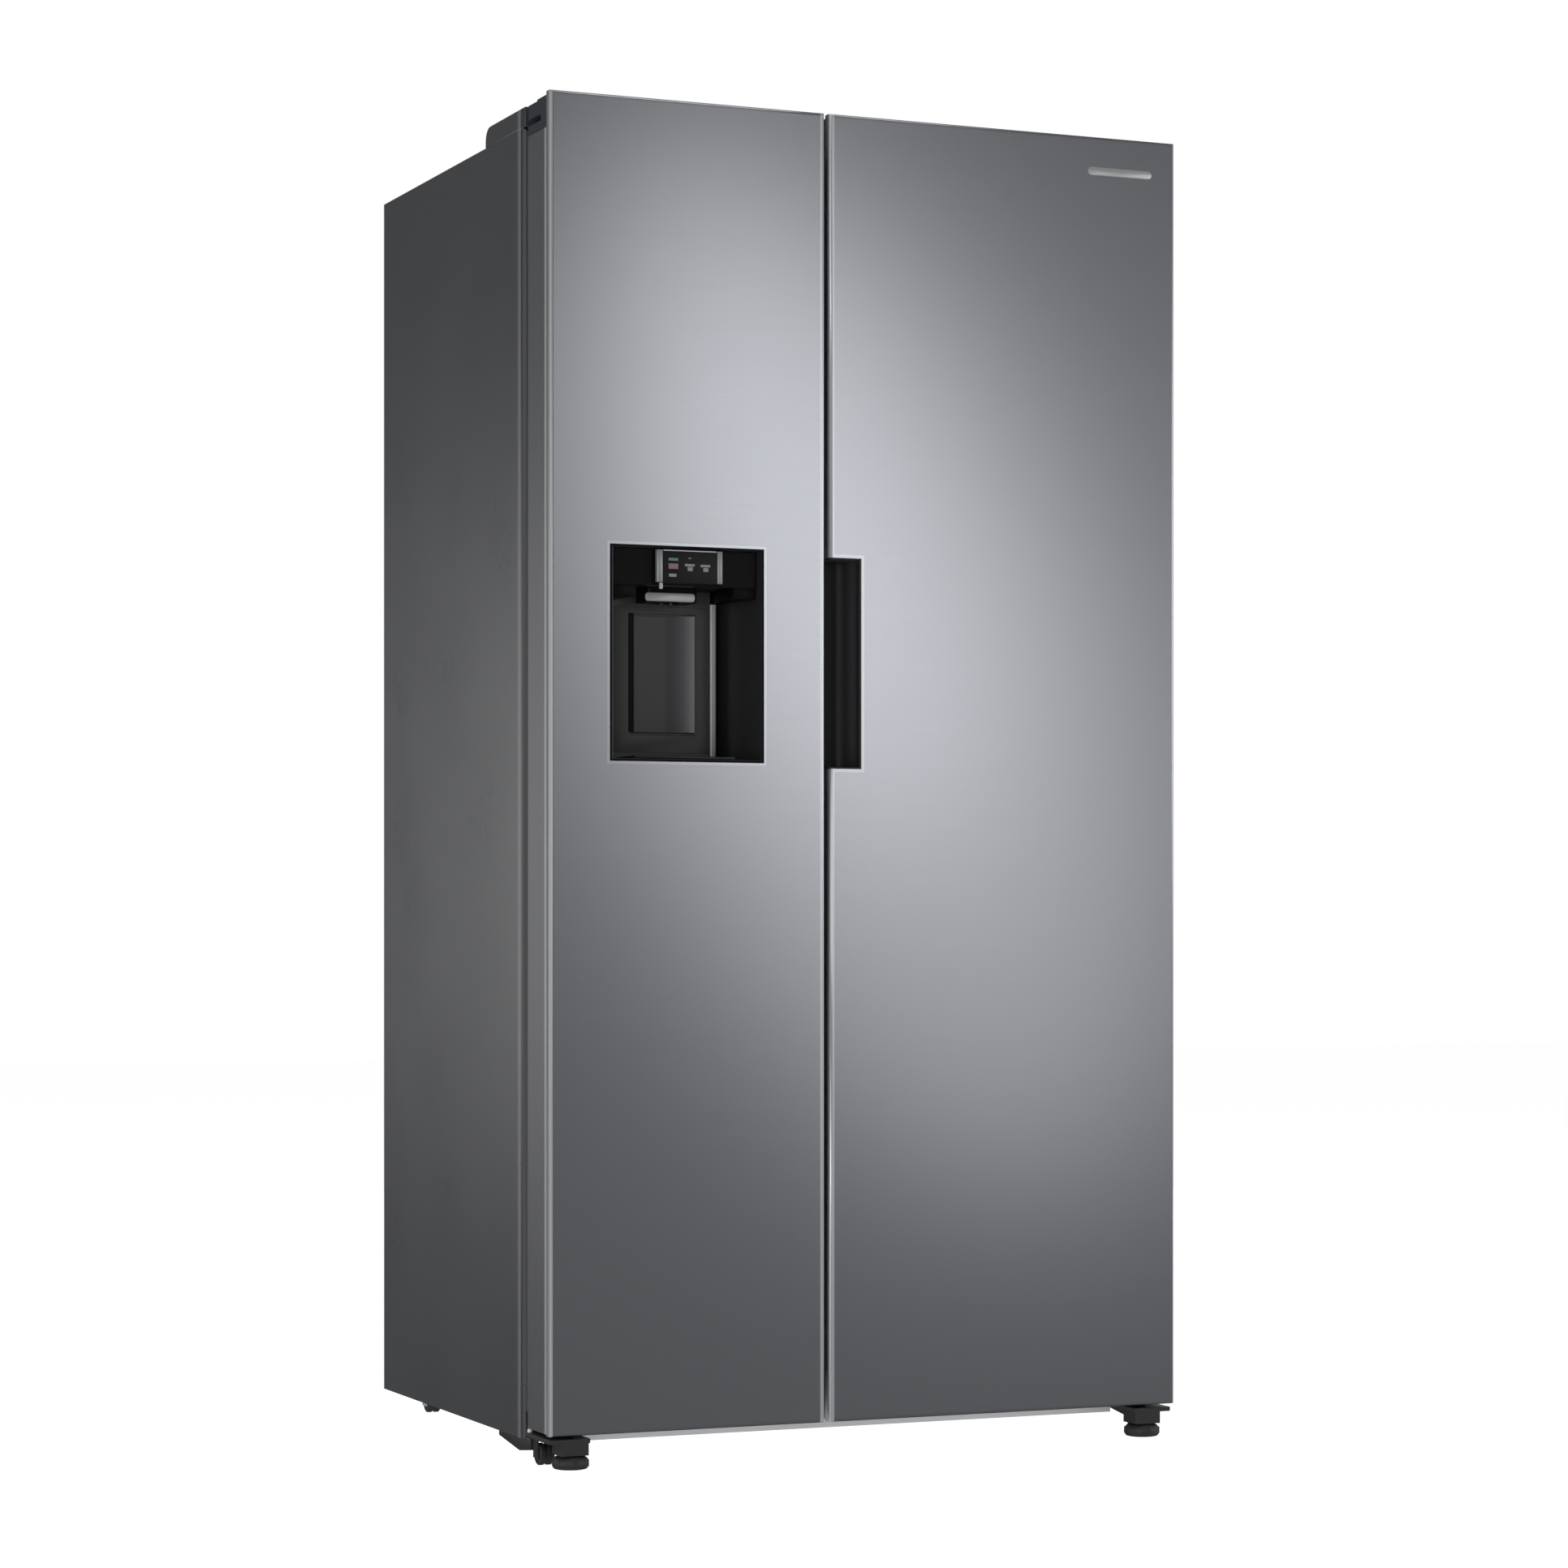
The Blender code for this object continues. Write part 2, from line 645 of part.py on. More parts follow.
def door_frame(span, finish, body):
    """Plastic frame behind the skin: side walls, a bottom rail with the lower pin's bore and a top cap.

    The cap's lid hangs over the hinge arm, and the slot between them is open at the back and the side.
    """
    xs = span.across(0.0015, 0.0015)
    front, back = FRONT + SKIN_RETURN + 0.0015, DOOR_BACK
    deck = ARM_BOTTOM - 0.003
    low = DOOR_BOTTOM + 0.0015
    obj = piece(
        f"{span.name}_door_frame", box((xs[0], front, low), (xs[1], back, deck)), finish, body
    )
    hollow = span.across(0.0045, 0.0045)
    cut(obj, box((hollow[0], front - 0.01, low + 0.022), (hollow[1], back + 0.01, deck - 0.026)))
    wall_back = HINGE_Y - 0.018
    raised = box((xs[0], front, deck - 0.005), (xs[1], wall_back, HEIGHT - 0.0035))
    lid_edge = span.side * 0.360
    outer = span.outer - span.side * 0.0015
    lid_xs = sorted((outer, lid_edge))
    lid = box(
        (lid_xs[0], wall_back - 0.010, deck + 0.0085), (lid_xs[1], back - 0.002, HEIGHT - 0.0055)
    )
    brow = box(
        (lid_xs[0], wall_back - 0.005, deck + 0.022), (lid_xs[1], HINGE_Y - 0.004, HEIGHT - 0.0035)
    )
    join(obj, raised, lid, brow)
    pin_x = span.side * HINGE_X
    cut(
        obj,
        cylinder((pin_x, HINGE_Y, deck - 0.005), PIN_RADIUS + 0.0002, 0.026),
        cylinder((pin_x, HINGE_Y, low + 0.004), PIN_RADIUS + 0.0002, 0.030),
    )
    return obj


def door_foam(span, finish, body):
    """Foam that fills the skin and the frame."""
    xs = span.across(0.004, 0.004)
    front = box(
        (xs[0], FRONT + 0.0013, DOOR_BOTTOM + 0.004), (xs[1], FRONT + SKIN_RETURN + 0.0008, HEIGHT - 0.004)
    )
    round_edges(front, 0.004, 1, lambda middle, direction: abs(middle.y - FRONT - 0.0013) < 1e-5)
    obj = piece(f"{span.name}_door_foam", front, finish, body)
    inner = span.across(0.0048, 0.0048)
    low = DOOR_BOTTOM + 0.0238
    high = ARM_BOTTOM - 0.0293
    join(
        obj,
        box((inner[0], FRONT + SKIN_RETURN - 0.004, low), (inner[1], DOOR_BACK - FIT, high)),
    )
    return obj


def ring(outer_x, outer_z, width, y0, y1):
    """Rectangular ring in the XZ plane, as (outer box, inner cutter)."""
    outer = box((outer_x[0], y0, outer_z[0]), (outer_x[1], y1, outer_z[1]))
    inner = box(
        (outer_x[0] + width, y0 - 0.01, outer_z[0] + width),
        (outer_x[1] - width, y1 + 0.01, outer_z[1] - width),
    )
    return outer, inner


def door_liner(span, finish, body):
    """Inner panel with the raised rim, hollow behind, that holds the bins."""
    xs = span.across(0.005, 0.005)
    plate = box((xs[0], DOOR_BACK + FIT, 0.056), (xs[1], DOOR_BACK + FIT + LINER, 1.733))
    obj = piece(f"{span.name}_door_liner", plate, finish, body)
    rim_x = span.between(0.010, 0.015)
    rim_z = (0.110, 1.682)
    face = DOOR_BACK + FIT + LINER
    outer, inner = ring(rim_x, rim_z, 0.018, face - LINER / 2, -0.215)
    rim = piece("rim_shape", outer, finish, body)
    rim.hide_render = True
    rim.display_type = "WIRE"
    cut(rim, inner)
    modifier = obj.modifiers.new("Rim", "BOOLEAN")
    modifier.operation = "UNION"
    modifier.object = rim
    thin = LINER
    hollow_x = (rim_x[0] + thin, rim_x[1] - thin)
    hollow_z = (rim_z[0] + thin, rim_z[1] - thin)
    outer, inner = ring(hollow_x, hollow_z, 0.018 - 2 * thin, DOOR_BACK - 0.01, -0.215 - thin)
    groove = piece("rim_hollow", outer, finish, body)
    groove.hide_render = True
    groove.display_type = "WIRE"
    cut(groove, inner)
    modifier = obj.modifiers.new("Groove", "BOOLEAN")
    modifier.operation = "DIFFERENCE"
    modifier.object = groove
    return obj


def door_gasket(span, finish, body):
    """Magnetic seal between the door's liner and the cabinet's front."""
    hinge_side = span.side * (HINGE_X - 0.002)
    free_side = span.gap_edge + span.side * 0.003
    xs = sorted((hinge_side, free_side))
    y0, y1 = DOOR_BACK + 2 * FIT + LINER, CABINET_FRONT - FIT
    outer, inner = ring(xs, (0.072, 1.720), 0.0145, y0, y1)
    obj = piece(f"{span.name}_door_gasket", outer, finish, body)
    cut(obj, inner)


def door_bin(name, span, low, high, finish, body):
    """Open tray between the rims of the door's liner, with a lower front rail."""
    xs = span.between(0.010 + 0.018 + FIT, 0.015 + 0.018 + FIT)
    front = DOOR_BACK + 2 * FIT + LINER
    wall = 0.0025
    bm = box((xs[0], front, low), (xs[1], BIN_BACK, high))
    round_edges(
        bm,
        0.014,
        3,
        lambda middle, direction: abs(direction.z) > 0.9 and middle.y > (front + BIN_BACK) / 2,
    )
    obj = piece(name, bm, finish, body, smooth=True)
    inner = box(
        (xs[0] + wall, front + wall, low + wall), (xs[1] - wall, BIN_BACK - wall, high + 0.02)
    )
    round_edges(
        inner,
        0.0115,
        3,
        lambda middle, direction: abs(direction.z) > 0.9 and middle.y > (front + BIN_BACK) / 2,
    )
    cut(obj, inner)


def dispenser(finishes, body):
    """Black recess with its control head, the panel above and the paddle at the back."""
    side = 0.0003
    front_y, back_y = FRONT + 0.0008, -0.2465
    outer_front = (
        (RECESS_X[0] + side, RECESS_X[1] - side),
        (RECESS_Z[0] + side, RECESS_Z[1] - side),
    )
    draft_x, draft_z, wall = 0.022, 0.004, 0.0022
    outer_back = (
        (outer_front[0][0] + draft_x, outer_front[0][1] - draft_x),
        (outer_front[1][0] + draft_z, outer_front[1][1] - draft_z),
    )
    housing = piece(
        "dispenser_housing",
        tapered(outer_front, outer_back, front_y, back_y),
        finishes["black_gloss"],
        body,
    )

    def inset(rectangle, amount):
        return tuple((low + amount, high - amount) for low, high in rectangle)

    depth = back_y - front_y
    extra = 0.01
    grow = extra / depth
    inner_front = (
        (
            outer_front[0][0] + wall - draft_x * grow,
            outer_front[0][1] - wall + draft_x * grow,
        ),
        (
            outer_front[1][0] + wall - draft_z * grow,
            outer_front[1][1] - wall + draft_z * grow,
        ),
    )
    inner_back = inset(outer_back, wall)
    wall_y = back_y - wall
    cut(housing, tapered(inner_front, inner_back, front_y - extra, wall_y))

    plate_front = -0.2685
    plate = box((RECESS_MID - 0.075, plate_front, 0.932), (RECESS_MID + 0.075, wall_y + 0.001, 1.126))
    round_edges(
        plate, 0.006, 3, lambda middle, direction: abs(direction.z) > 0.9 and middle.y < -0.26
    )
    join(housing, plate)
    cut(
        housing,
        box((RECESS_MID - 0.046, plate_front - 0.01, 0.956), (RECESS_MID + 0.046, wall_y, 1.116)),
        cylinder(PADDLE_AXIS, PADDLE_SHAFT + 0.00008, 0.102, "x"),
    )

    head_front = ((RECESS_MID - 0.1015, RECESS_MID + 0.1015), (1.1475, 1.1950))
    head_back = ((RECESS_MID - 0.0823, RECESS_MID + 0.0823), (1.1475, 1.1912))
    head = piece(
        "dispenser_head",
        tapered(head_front, head_back, -0.346, wall_y - 0.0022),
        finishes["black_gloss"],
        body,
    )
    chute_x, chute_y, lip = CHUTE
    neck = box((chute_x - 0.036, chute_y - 0.023, lip), (chute_x + 0.036, chute_y + 0.031, 1.150))
    round_edges(neck, 0.006, 2, lambda middle, direction: abs(direction.z) > 0.9)
    join(head, neck)
    cut(head, cylinder((chute_x, chute_y, lip), 0.018, 0.06, "z", 20))

    panel_front = -0.3567
    panel = box((PANEL_X[0], panel_front, 1.150), (PANEL_X[1], -0.3463, 1.1942))
    round_edges(panel, 0.002, 2, lambda middle, direction: abs(middle.y - panel_front) < 1e-5)
    piece("control_panel", panel, finishes["black_plastic"], body)

    lever = Body("dispenser_paddle", PADDLE_AXIS, body)
    half, sag, thick = 0.043, 0.008, 0.003
    radius = (half * half + sag * sag) / (2 * sag)
    spread = math.degrees(math.asin(half / radius))
    centre = (RECESS_MID, PADDLE_AXIS.y - 0.010 + sag - radius)
    outline = arc(centre, radius, 90 - spread, 90 + spread, 10)
    outline += arc(centre, radius + thick, 90 + spread, 90 - spread, 10)
    paddle = prism(outline, "z", 0.960, 1.112)
    obj = piece("dispenser_paddle", paddle, finishes["grey_paddle"], lever, smooth=True)
    join(obj, cylinder(PADDLE_AXIS, PADDLE_SHAFT, 0.100, "x"))


def recess_cutter(margin):
    """The dispenser housing's straight way through the skin and the foam."""
    return box(
        (RECESS_X[0] - margin, FRONT - 0.02, RECESS_Z[0] - margin),
        (RECESS_X[1] + margin, DOOR_BACK + 0.05, RECESS_Z[1] + margin),
    )


def freezer_door(finishes, root):
    edge = DOOR_GAP_CENTRE - DOOR_GAP / 2
    span = DoorSpan("freezer", -1, edge, FREEZER_X)
    body = Body("freezer_door", (-HINGE_X, HINGE_Y, 0.0), root)
    cut(door_skin(span, finishes["door_steel"], body), recess_cutter(0.0))
    door_frame(span, finishes["door_side"], body)
    cut(door_foam(span, finishes["foam"], body), recess_cutter(FIT))
    panel = door_liner(span, finishes["white_plastic"], body)
    bulge_x = span.between(0.026, 0.031)
    join(panel, box((bulge_x[0], DOOR_BACK + 0.001, 0.885), (bulge_x[1], -0.228, 1.300)))
    cut(
        panel,
        box(
            (bulge_x[0] + 0.004, DOOR_BACK - 0.01, 0.889), (bulge_x[1] - 0.004, -0.2305, 1.296)
        ),
    )
    door_gasket(span, finishes["rubber"], body)
    door_bin("freezer_door_bin_upper", span, 1.400, 1.500, finishes["clear_plastic"], body)
    door_bin("freezer_door_bin_lower", span, 0.500, 0.620, finishes["clear_plastic"], body)
    dispenser(finishes, body)


def handle_pocket(finish, body, edge):
    """Finger pocket moulded in black, open at the front and towards the gap between the doors."""
    low, high = POCKET_Z
    outer = box(
        (edge + FIT, FRONT + 0.0008, low + FIT), (POCKET_RIGHT - FIT, POCKET_BACK - FIT, high - FIT)
    )
    obj = piece("handle_pocket", outer, finish, body, smooth=True)
    wall = 0.0022
    right, rear = POCKET_RIGHT - FIT - wall, POCKET_BACK - FIT - wall
    radius = 0.024
    outline = [(edge - 0.02, FRONT - 0.02), (right, FRONT - 0.02)]
    outline += arc((right - radius, rear - radius), radius, 0, 90, 8)
    outline += [(edge - 0.02, rear)]
    cut(obj, prism(outline, "z", low + FIT + wall, high - FIT - wall))


def fridge_door(finishes, root):
    edge = DOOR_GAP_CENTRE + DOOR_GAP / 2
    span = DoorSpan("fridge", 1, edge, FRIDGE_X)
    body = Body("fridge_door", (HINGE_X, HINGE_Y, 0.0), root)

    def pocket_cutter(margin):
        return box(
            (edge - 0.02, FRONT - 0.02, POCKET_Z[0] - margin),
            (POCKET_RIGHT + margin, POCKET_BACK + margin, POCKET_Z[1] + margin),
        )

    cut(door_skin(span, finishes["door_steel"], body), pocket_cutter(0.0))
    cut(door_frame(span, finishes["door_side"], body), pocket_cutter(0.0))
    cut(door_foam(span, finishes["foam"], body), pocket_cutter(0.0))
    door_liner(span, finishes["white_plastic"], body)
    door_gasket(span, finishes["rubber"], body)
    for name, low, high in (("upper", 1.330, 1.430), ("middle", 0.880, 0.990), ("lower", 0.400, 0.530)):
        door_bin(f"fridge_door_bin_{name}", span, low, high, finishes["clear_plastic"], body)
    handle_pocket(finishes["black_plastic"], body, edge)


# ---- Inside the compartments ----------------------------------------------------------------------
def shelf(name, span, z, back, finish, body):
    """Glass plate with a deeper rim along its front."""
    xs = (span[0] + 0.0008, span[1] - 0.0008)
    obj = piece(name, box((xs[0], SHELF_FRONT, z + FIT), (xs[1], back, z + 0.0063)), finish, body)
    join(
        obj,
        box(
            (xs[0] + 0.006, SHELF_FRONT - 0.0005, z - 0.010), (xs[1] - 0.006, SHELF_FRONT + 0.008, z + 0.009)
        ),
    )


def drawer(name, span, low, high, back, finish, parent):
    """Open tray with a thick front that has a finger cut-out."""
    body = Body(name, (sum(span) / 2, SHELF_FRONT, low), parent)
    xs = (span[0] + 0.0065, span[1] - 0.0065)
    wall = 0.0025
    bm = box((xs[0], SHELF_FRONT, low), (xs[1], back, high))
    obj = piece(name, bm, finish, body)
    cut(
        obj,
        box(
            (xs[0] + wall, SHELF_FRONT + 2 * wall, low + wall), (xs[1] - wall, back - wall, high + 0.02)
        ),
    )
    middle = sum(span) / 2
    cut(obj, box((middle - 0.055, SHELF_FRONT - 0.01, high - 0.022), (middle + 0.055, SHELF_FRONT + 0.01, high + 0.02)))
    return body


def freezer_interior(finishes, root):
    span = FREEZER_X
    duct = box((span[0] + 0.0005, DUCT_FRONT, STEP_TOP + 0.0005), (span[1] - 0.0005, DUCT_FRONT + 0.0025, CAVITY_CEILING - 0.0005))
    obj = piece("freezer_duct_cover", duct, finishes["white_plastic"], root)
    slots = [
        ((-0.33 + column * 0.085, DUCT_FRONT - 0.01, z), (-0.27 + column * 0.085, DUCT_FRONT + 0.01, z + 0.008))
        for z in (0.66, 0.68, 0.95, 0.97, 1.30, 1.32)
        for column in range(2)
    ]
    cut(obj, boxes(slots))
    serpentine("evaporator_coil", (-0.375, 0.273, 0.350), 0.25, 0.036, 8, 0.0045, finishes["aluminium"], root)
    shelf("freezer_shelf_upper", span, 1.180, DUCT_FRONT - 0.0008, finishes["shelf_glass"], root)
    shelf("freezer_shelf_lower", span, 0.900, DUCT_FRONT - 0.0008, finishes["shelf_glass"], root)
    drawer("freezer_drawer_upper", span, 0.420, 0.640, 0.235, finishes["clear_plastic"], root)
    drawer("freezer_drawer_lower", span, 0.110, 0.380, 0.098, finishes["clear_plastic"], root)
    ice_maker(finishes["white_plastic"], root)
    ice_bucket(finishes, root)


def ice_maker(finish, body):
    """Gearbox and the twist tray with its ice moulds."""
    tray = box((-0.345, 0.060, 1.600), (-0.110, 0.200, 1.640))
    obj = piece("ice_maker", tray, finish, body)
    join(obj, box((-0.400, 0.040, 1.590), (-0.340, 0.225, 1.692)))
    join(obj, box((-0.116, 0.060, 1.610), (-0.098, 0.200, 1.692)))
    moulds = []
    for column in range(6):
        for row in range(2):
            x = -0.334 + column * 0.036
            y = 0.066 + row * 0.066
            moulds.append(((x, y, 1.606), (x + 0.031, y + 0.060, 1.70)))
    cut(obj, boxes(moulds))


def ice_bucket(finishes, root):
    span = FREEZER_X
    body = drawer("ice_bucket", span, 1.385, 1.545, 0.230, finishes["clear_plastic"], root)
    auger = Body("ice_auger", AUGER_CENTRE, body)
    shaft = cylinder(AUGER_CENTRE + Vector((0, 0.040, 0)), 0.006, 0.310, "y", 12)
    obj = piece("ice_auger", shaft, finishes["aluminium"], auger)
    join(obj, auger_flight())


def auger_flight():
    """Helical ribbon of rectangular section round the auger's shaft."""
    turns, steps, inner, outer, thick = 3.5, 56, 0.004, 0.040, 0.004
    start, length = -0.100, 0.280
    bm = bmesh.new()
    rings = []
    for i in range(steps + 1):
        angle = math.tau * turns * i / steps
        y = start + length * i / steps
        direction = Vector((math.cos(angle), 0.0, math.sin(angle)))
        corners = ((inner, 0.0), (outer, 0.0), (outer, thick), (inner, thick))
        rings.append(
            [bm.verts.new(AUGER_CENTRE + direction * r + Vector((0, y + dy, 0))) for r, dy in corners]
        )
    for a, b in zip(rings, rings[1:]):
        for i in range(4):
            j = (i + 1) % 4
            bm.faces.new((a[i], a[j], b[j], b[i]))
    bm.faces.new(rings[0])
    bm.faces.new(rings[-1])
    bmesh.ops.recalc_face_normals(bm, faces=bm.faces)
    return bm


def fridge_interior(finishes, root):
    span = FRIDGE_X
    back = CAVITY_BACK - 0.001
    for name, z in (("upper", 1.370), ("middle", 1.040), ("lower", 0.680)):
        shelf(f"fridge_shelf_{name}", span, z, back, finishes["shelf_glass"], root)
    drawer("crisper_upper", span, 0.440, 0.660, 0.285, finishes["clear_plastic"], root)
    drawer("crisper_lower", span, 0.110, 0.400, 0.098, finishes["clear_plastic"], root)


# ---- Machine compartment --------------------------------------------------------------------------
def machine(finishes, root):
    base = CABINET_BOTTOM + 0.0021
    profile = [(0.0, base), (0.060, base), (0.060, base + 0.012), (0.070, base + 0.020)]
    profile += [(0.086, 0.075), (0.088, 0.110), (0.092, 0.112), (0.092, 0.118), (0.088, 0.120)]
    profile += [(0.084, 0.160), (0.066, 0.192), (0.035, 0.206), (0.0, 0.210)]
    piece(
        "compressor",
        lathe(profile, (0.235, 0.250, 0.0)),
        finishes["compressor_black"],
        root,
        smooth=True,
    )
    serpentine("condenser_coil", (-0.390, 0.250, 0.055), 0.26, 0.024, 8, 0.004, finishes["copper"], root)
    fan = Body("condenser_fan", FAN_CENTRE, root)
    hub = cylinder(FAN_CENTRE, 0.018, 0.022, "x", 24)
    obj = piece("condenser_fan", hub, finishes["black_plastic"], fan, smooth=True)
    blades = 5
    for i in range(blades):
        blade = box((-0.0015, 0.012, -0.022), (0.0015, 0.075, 0.022))
        pitch = Matrix.Rotation(math.radians(28), 4, "Y")
        spin = Matrix.Rotation(math.tau * i / blades, 4, "X")
        bmesh.ops.transform(
            blade, matrix=Matrix.Translation(FAN_CENTRE) @ spin @ pitch, verts=blade.verts
        )
        join(obj, blade)
    cut(obj, cylinder(FAN_CENTRE, AXLE_RADIUS + 0.0004, 0.05, "x", 16))


# ---- Assembly -------------------------------------------------------------------------------------
def main():
    clear_scene()
    finishes = make_finishes()
    root = Body("cabinet")
    cabinet_wrapper(finishes["cabinet_paint"], root)
    base_pan(finishes["galvanised"], root)
    rear_panels(finishes, root)
    front_trims(finishes, root)
    insulation(finishes["foam"], root)
    liner(
        "freezer_liner", FREEZER_X, (0.1105, 0.4205, 0.900, 1.180, 1.3855), 0.235, finishes["white_plastic"], root
    )
    liner(
        "fridge_liner", FRIDGE_X, (0.1105, 0.4405, 0.680, 1.040, 1.370), 0.285, finishes["white_plastic"], root
    )
    for side in (-1, 1):
        upper_hinge(side, finishes["galvanised"], root)
        hinge_cover(side, finishes["cabinet_paint"], root)
        lower_hinge(side, finishes["black_plastic"], root)
        levelling_foot(side, finishes["black_plastic"], root)
        roller(
            f"front_roller_{side_name(side)}", side * FRONT_ROLLER[0], FRONT_ROLLER[1], finishes["black_plastic"], root
        )
        roller(
            f"rear_roller_{side_name(side)}", side * REAR_ROLLER[0], REAR_ROLLER[1], finishes["black_plastic"], root
        )
    freezer_interior(finishes, root)
    fridge_interior(finishes, root)
    machine(finishes, root)
    freezer_door(finishes, root)
    fridge_door(finishes, root)


main()
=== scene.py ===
import json
import math

import bmesh
import bpy
from mathutils import Matrix, Vector


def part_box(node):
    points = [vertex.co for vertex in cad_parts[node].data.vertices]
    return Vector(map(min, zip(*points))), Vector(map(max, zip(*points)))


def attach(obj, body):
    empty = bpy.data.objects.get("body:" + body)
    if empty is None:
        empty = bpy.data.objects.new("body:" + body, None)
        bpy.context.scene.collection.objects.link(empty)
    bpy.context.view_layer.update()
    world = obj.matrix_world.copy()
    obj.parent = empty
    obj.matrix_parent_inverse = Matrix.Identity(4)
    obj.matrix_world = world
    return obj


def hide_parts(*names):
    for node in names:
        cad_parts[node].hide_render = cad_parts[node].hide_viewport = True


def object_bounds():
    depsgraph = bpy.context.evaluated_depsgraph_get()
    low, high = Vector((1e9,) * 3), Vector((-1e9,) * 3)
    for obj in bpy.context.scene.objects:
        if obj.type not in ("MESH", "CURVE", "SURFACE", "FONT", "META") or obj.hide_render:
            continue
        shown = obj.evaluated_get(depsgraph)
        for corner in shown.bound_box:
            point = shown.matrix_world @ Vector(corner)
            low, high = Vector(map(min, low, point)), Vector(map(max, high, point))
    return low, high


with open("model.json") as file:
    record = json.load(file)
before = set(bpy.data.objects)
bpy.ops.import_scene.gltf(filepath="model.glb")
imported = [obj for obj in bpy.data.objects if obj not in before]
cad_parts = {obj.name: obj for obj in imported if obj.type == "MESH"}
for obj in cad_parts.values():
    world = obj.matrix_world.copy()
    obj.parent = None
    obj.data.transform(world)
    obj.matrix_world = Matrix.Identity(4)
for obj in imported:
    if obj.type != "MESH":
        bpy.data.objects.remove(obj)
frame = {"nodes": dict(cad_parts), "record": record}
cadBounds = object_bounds()
scene = bpy.context.scene
print("frame loaded:", len(frame["nodes"]), "nodes")


# shader helpers
class Wire:
    def __init__(self, finish, socket):
        self.finish = finish
        self.socket = socket

    def math(self, operation, *values):
        return self.finish.node("ShaderNodeMath", {"operation": operation}, dict(enumerate(values)))

    def __add__(self, other):
        return self.math("ADD", self, other)

    def __sub__(self, other):
        return self.math("SUBTRACT", self, other)

    def __rsub__(self, other):
        return self.math("SUBTRACT", other, self)

    def __mul__(self, other):
        return self.math("MULTIPLY", self, other)

    __radd__ = __add__
    __rmul__ = __mul__

    def above(self, limit):
        return self.math("GREATER_THAN", self, limit)

    def below(self, limit):
        return self.math("LESS_THAN", self, limit)

    def size(self):
        return self.math("ABSOLUTE", self)

    def ramp(self, low, high):
        span = {"Value": self, "From Min": low, "From Max": high}
        return self.finish.node("ShaderNodeMapRange", {"interpolation_type": "SMOOTHSTEP"}, span)


class Finish:
    def __init__(self, name, sockets={}):
        self.material = bpy.data.materials.new(name)
        self.material.use_nodes = True
        self.tree = self.material.node_tree
        self.shader = self.tree.nodes["Principled BSDF"]
        for socket, value in sockets.items():
            self.put(self.shader.inputs[socket], value)

    def put(self, socket, value):
        if isinstance(value, Wire):
            self.tree.links.new(value.socket, socket)
        elif hasattr(value, "__len__") and len(value) == 3 and len(socket.default_value) == 4:
            socket.default_value = (*value, 1.0)
        else:
            socket.default_value = value

    def node(self, kind, settings, inputs, output=0):
        made = self.tree.nodes.new(kind)
        for key, value in settings.items():
            setattr(made, key, value)
        for key, value in inputs.items():
            self.put(made.inputs[key], value)
        return Wire(self, made.outputs[output])

    def feed(self, socket, value):
        self.put(self.shader.inputs[socket], value)

    def coords(self):
        return self.node("ShaderNodeTexCoord", {}, {}, "Object")

    def axis(self, letter):
        return self.node("ShaderNodeSeparateXYZ", {}, {0: self.coords()}, letter.upper())

    def noise(self, scale, detail=2.0, stretch=(1, 1, 1)):
        place = self.node("ShaderNodeMapping", {}, {"Vector": self.coords(), "Scale": stretch})
        return self.node(
            "ShaderNodeTexNoise", {}, {"Vector": place, "Scale": scale, "Detail": detail}
        )

    def cells(self, scale, output):
        return self.node("ShaderNodeTexVoronoi", {}, {"Vector": self.coords(), "Scale": scale}, output)

    def mix(self, factor, first, second):
        inputs = {0: factor, 6: (*first, 1.0) if isinstance(first, tuple) else first}
        inputs[7] = (*second, 1.0) if isinstance(second, tuple) else second
        return self.node("ShaderNodeMix", {"data_type": "RGBA"}, inputs, 2)

    def bump(self, height, distance):
        inputs = {"Height": height, "Distance": distance, "Strength": 1.0}
        self.feed("Normal", self.node("ShaderNodeBump", {}, inputs))

    def fresnel(self, ior):
        return self.node("ShaderNodeFresnel", {}, {"IOR": ior})


steelLook = {
    "light": (0.491, 0.506, 0.541),
    "dark": (0.467, 0.481, 0.514),
    "hairline": (10, 10, 1500),  # grain runs left to right
    "roughness": 0.22,
    "spread": 0.04,
    "gapAt": -0.0665,  # middle of the gap between the doors
    # painted highlight: a lighter, less metallic band on the steel beside each edge at the gap
    "foldLine": (0.0090, 0.0112),
    "foldTone": (0.62, 0.63, 0.66),
    "foldMetal": 0.68,
    # painted highlight: a less metallic grey band over the doors' outer rounded edges
    "outerEdge": (0.4522, 0.4532),
    "outerTone": (0.34, 0.345, 0.355),
    "outerMetal": 0.25,
}


def brushedSteel(name, gain):
    finish = Finish(name)
    grain = finish.noise(1.0, 3.0, steelLook["hairline"])
    cloud = finish.noise(3.0)
    blend = grain * 0.5 + cloud * 0.5
    dark, light = (tuple(c * gain for c in steelLook[key]) for key in ("dark", "light"))
    across = finish.axis("x")
    # painted highlight: lighter, less metallic band beside the gap edges
    fold = 1 - (across - steelLook["gapAt"]).size().ramp(*steelLook["foldLine"])
    # painted highlight over the doors' outer rounded edges
    outer = across.size().ramp(*steelLook["outerEdge"])
    front = finish.mix(fold, finish.mix(blend, dark, light), steelLook["foldTone"])
    finish.feed("Base Color", finish.mix(outer, front, steelLook["outerTone"]))
    finish.feed(
        "Metallic", 1 - fold * (1 - steelLook["foldMetal"]) - outer * (1 - steelLook["outerMetal"])
    )
    finish.feed("Roughness", (grain - 0.5) * steelLook["spread"] + steelLook["roughness"])
    finish.bump(grain, 0.00001)
    return finish.material


